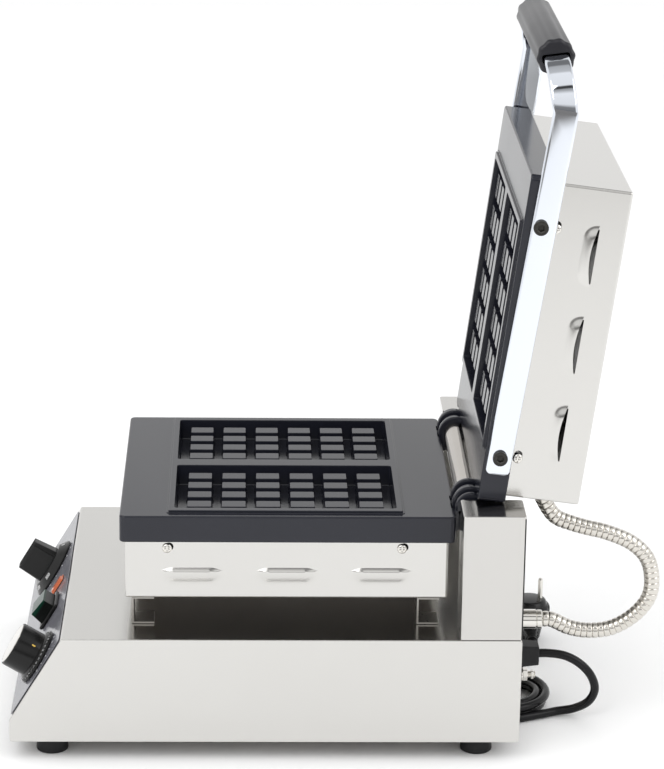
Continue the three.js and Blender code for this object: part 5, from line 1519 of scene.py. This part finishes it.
def make_panel():
    marks = dial_print("thermostat_tick", thermostat_place, 28.2, range(-30, 211, 20), 3)
    marks += dial_print("timer_tick", timer_place, 24.6, range(0, 181, 15), 2)
    dress(joined("panel_marks", *marks), BASE, "panel_grey", WHITE_PRINT)
    softened("control_panel", BASE, "panel_grey", PANEL, 0.15, 1)
    softened("switch_body", BASE, "knob_plastic", KNOB, 0.5)
    softened("indicator_lamp", BASE, "lamp_orange", ORANGE, 0.5)
    make_rocker()


def make_rocker():
    """The rocker with a level face from tip to tip."""
    shape = bmesh.new()
    for vertex in frame["nodes"]["power_switch"].data.vertices:
        shape.verts.new(vertex.co)
    bmesh.ops.remove_doubles(shape, verts=shape.verts, dist=2e-6)
    hull = bmesh.ops.convex_hull(shape, input=shape.verts)
    spare = {item for item in hull["geom_interior"] + hull["geom_unused"] if isinstance(item, bmesh.types.BMVert)}
    bmesh.ops.delete(shape, geom=list(spare), context="VERTS")
    bmesh.ops.dissolve_limit(shape, angle_limit=math.radians(0.5), verts=shape.verts, edges=shape.edges)
    mesh = bpy.data.meshes.new("rocker_moulded")
    shape.to_mesh(mesh)
    shape.free()
    rocker = bevel(new_object("rocker_moulded", mesh), 0.5)
    dress(weighted(rocker, 50), ROCKER, "green_plastic", rocker_green_with_painted_shade(), "power_switch")


def rocker_green_with_painted_shade():
    """Green only near the rocker's outer face, near-black on its flanks: the black flanks are painted shade."""
    out = slope_place.to_3x3() @ Vector((0, 0, 1))
    heights = [out.dot(vertex.co) for vertex in frame["nodes"]["power_switch"].data.vertices]
    top = max(heights)
    result, tree, shader = material("rocker_plastic_painted_shade", 0.0, Roughness=0.2, Specular_IOR_Level=0.15)
    height = add_node(tree, "ShaderNodeVectorMath", operation="DOT_PRODUCT")
    tree.links.new(add_node(tree, "ShaderNodeTexCoord").outputs["Object"], height.inputs[0])
    height.inputs[1].default_value = out
    face = add_node(tree, "ShaderNodeMapRange")
    tree.links.new(height.outputs["Value"], face.inputs["Value"])
    face.inputs["From Min"].default_value = top - 4.5 * MM
    face.inputs["From Max"].default_value = top - 2.5 * MM
    speckle = use_group(tree, SPECKLE, Scale=600.0, Roughness=0.2, Roughness_Spread=0.04)
    tree.links.new(speckle.outputs["Roughness"], shader.inputs["Roughness"])
    # Painted shade: the flanks take near-black, the outer face keeps its dark green.
    two_colours(tree, shader, face.outputs["Result"], (0.006, 0.007, 0.0065), (0.003, 0.034, 0.02))
    return result


# Base, columns, hinge and fittings

FOOT_RADIUS = 13
FOOT_TOP_RADIUS = 12
FOOT_HEIGHT = 16
FOOT_X = 130.5
FOOT_Y = 173
HINGE_TUBE_RADIUS = 10
HINGE_TUBE_HALF = 75.7
CONNECTOR_START = 0.3
CONNECTOR_BODY = 8.1
CONNECTOR_LENGTH = 22.6
CONNECTOR_BORE = 4.4
CONNECTOR_TAIL = 6
STUD_START = -3
STUD_RADIUS = 2.9
STUD_THREAD = 0.35
STUD_PITCH = 1
STUD_TURNS = 22
SEAM_WIDTH = 1
SEAM_INSET = 0.02


def make_feet():
    foot = turned("foot", [
        (0, 0), (FOOT_RADIUS - 1.2, 0), (FOOT_RADIUS - 0.3, 0.4), (FOOT_RADIUS, 1.4),
        (FOOT_TOP_RADIUS + 0.2, FOOT_HEIGHT - 1), (FOOT_TOP_RADIUS - 0.4, FOOT_HEIGHT - 0.1), (0, FOOT_HEIGHT - 0.1),
    ], 48)
    spots = [((x, y, 0), (0, 0, 0)) for x in (FOOT_X, -FOOT_X) for y in (-FOOT_Y, FOOT_Y)]
    feet = set_out("rubber_feet", foot, spots, Matrix.Translation((0, BASE_MIDDLE_Y, 0)), RUBBER)
    names = [f"foot_{end}_{side}" for end in ("front", "rear") for side in ("right", "left")]
    dress(feet, BASE, "rubber", RUBBER, *names)


def make_hinge():
    tube = turned("hinge_tube_drawn", [
        (6.4, -HINGE_TUBE_HALF), (HINGE_TUBE_RADIUS - 0.6, -HINGE_TUBE_HALF),
        (HINGE_TUBE_RADIUS, 0.6 - HINGE_TUBE_HALF), (HINGE_TUBE_RADIUS, HINGE_TUBE_HALF - 0.6),
        (HINGE_TUBE_RADIUS - 0.6, HINGE_TUBE_HALF), (6.4, HINGE_TUBE_HALF),
    ], 72, Matrix.Translation(HINGE) @ along_x)
    # The tube's darker steel colour is painted shade.
    dress(tube, BASE, "stainless", HINGE_SHADED_STEEL, "hinge_tube")


def make_base_connector():
    place = Matrix.Translation(Vector((CONDUIT_X, 0, CONDUIT_Z)) + from_rear) @ along_y
    start = CONNECTOR_START
    end = start + CONNECTOR_LENGTH
    tail = -CONNECTOR_TAIL
    lip = CONNECTOR_BODY - 0.4
    body = turned("conduit_connector_turned", [
        (CONNECTOR_BORE, tail), (6.2, tail), (6.2, start), (CONNECTOR_BODY, start), (CONNECTOR_BODY, end - 5.4),
        (lip - 0.4, end - 4.9), (lip - 0.4, end - 4.4), (lip, end - 4), (lip, end - 0.8), (lip - 0.8, end),
        (CONNECTOR_BORE, end),
    ], 64, place)
    dress(weighted(body), BASE, "nickel", NICKEL, "conduit_connector_base")


def make_earth_stud():
    """Threaded stud on the rear wall with a washer and two nuts."""
    low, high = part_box("earth_terminal")
    place = Matrix.Translation(((low.x + high.x) / 2, BASE_REAR_Y, (low.z + high.z) / 2)) @ along_y
    thread = [(0, STUD_START), (STUD_RADIUS - STUD_THREAD, STUD_START)]
    for i in range(STUD_TURNS):
        root = STUD_START + STUD_PITCH * i
        thread += [
            (STUD_RADIUS, root + 0.4 * STUD_PITCH), (STUD_RADIUS, root + 0.55 * STUD_PITCH),
            (STUD_RADIUS - STUD_THREAD, root + 0.95 * STUD_PITCH),
        ]
    thread.append((0, STUD_START + STUD_PITCH * STUD_TURNS))
    stud = turned("earth_stud_rod", thread, 32, place)
    parts = [stud, rod("earth_washer", 6, 7.2, 8.5, place, 0.2, 40), rod("earth_seat", 6, 0.1, 1.4, place, 0.2, 40)]
    for i, (radius, start, end) in enumerate(((5.6, 1.5, 5.6), (5.6, 8.6, 12.4), (4, 15.4, 17.6))):
        parts.append(bevel(prism(f"earth_nut_{i}", ring_points(6, radius), start, end, place), 0.4))
    piece = joined("earth_stud", *parts)
    dress(weighted(piece), BASE, "nickel", NICKEL, "earth_terminal")


def make_column_seams():
    """Painted shade line down the rear corner of each column's outer face, where the joint to the back plate lies in
    shadow.
    """
    for side, sign in (("right", 1), ("left", -1)):
        low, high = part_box("column_" + side)
        face = (high.x if sign > 0 else -low.x) / MM
        edge = high.y / MM
        box = (face - SEAM_WIDTH, face - SEAM_INSET, edge - SEAM_WIDTH, edge - SEAM_INSET)
        rings = [plan(box, 0.1, height, 0, 2) for height in (base_high.z / MM + 0.5, high.z / MM - 2)]
        seam = Skin().run(rings).made("column_seam_" + side, Matrix.Scale(sign, 4, (1, 0, 0)))
        dress(seam, BASE, "stainless", SEAM_PAINTED_SHADE)


PLAIN_FINISHES = {
    "base_floor": ZINC,
    "terminal_block": BAKELITE,
    "thermostat": ZINC,
    "timer": ZINC,
    "lower_heater": ZINC,
    "lid_heater": ZINC,
    "lower_heater_clamp": ZINC,
    "lid_heater_clamp": ZINC,
    "thermostat_probe": BRASS,
    "hinge_shaft": BLACK_STEEL,
}


def finish_plain_nodes():
    for name, look in PLAIN_FINISHES.items():
        node = frame["nodes"][name]
        node.data.materials.clear()
        node.data.materials.append(look)


make_camera()
make_cord()
make_stage()
make_light()
make_conduit()
make_castings()
make_housings()
make_fasteners()
make_bar()
make_grip()
make_thermostat_knob()
make_timer_knob()
make_panel()
make_feet()
make_hinge()
make_base_connector()
make_earth_stud()
make_column_seams()
softened("base_shell", BASE, "stainless", STAINLESS, 0.7)
softened("column_right", BASE, "stainless", COLUMN_STEEL, 0.6)
softened("column_left", BASE, "stainless", COLUMN_STEEL, 0.6)
softened("conduit_connector_lid", LID, "nickel", NICKEL, 0.35)
softened("cord_gland", BASE, "rubber", RUBBER, 0.7)
for end in ("front", "rear"):
    for side in ("right", "left"):
        softened(f"bracket_{end}_{side}", BASE, "galvanised", ZINC, 0.3)
finish_plain_nodes()
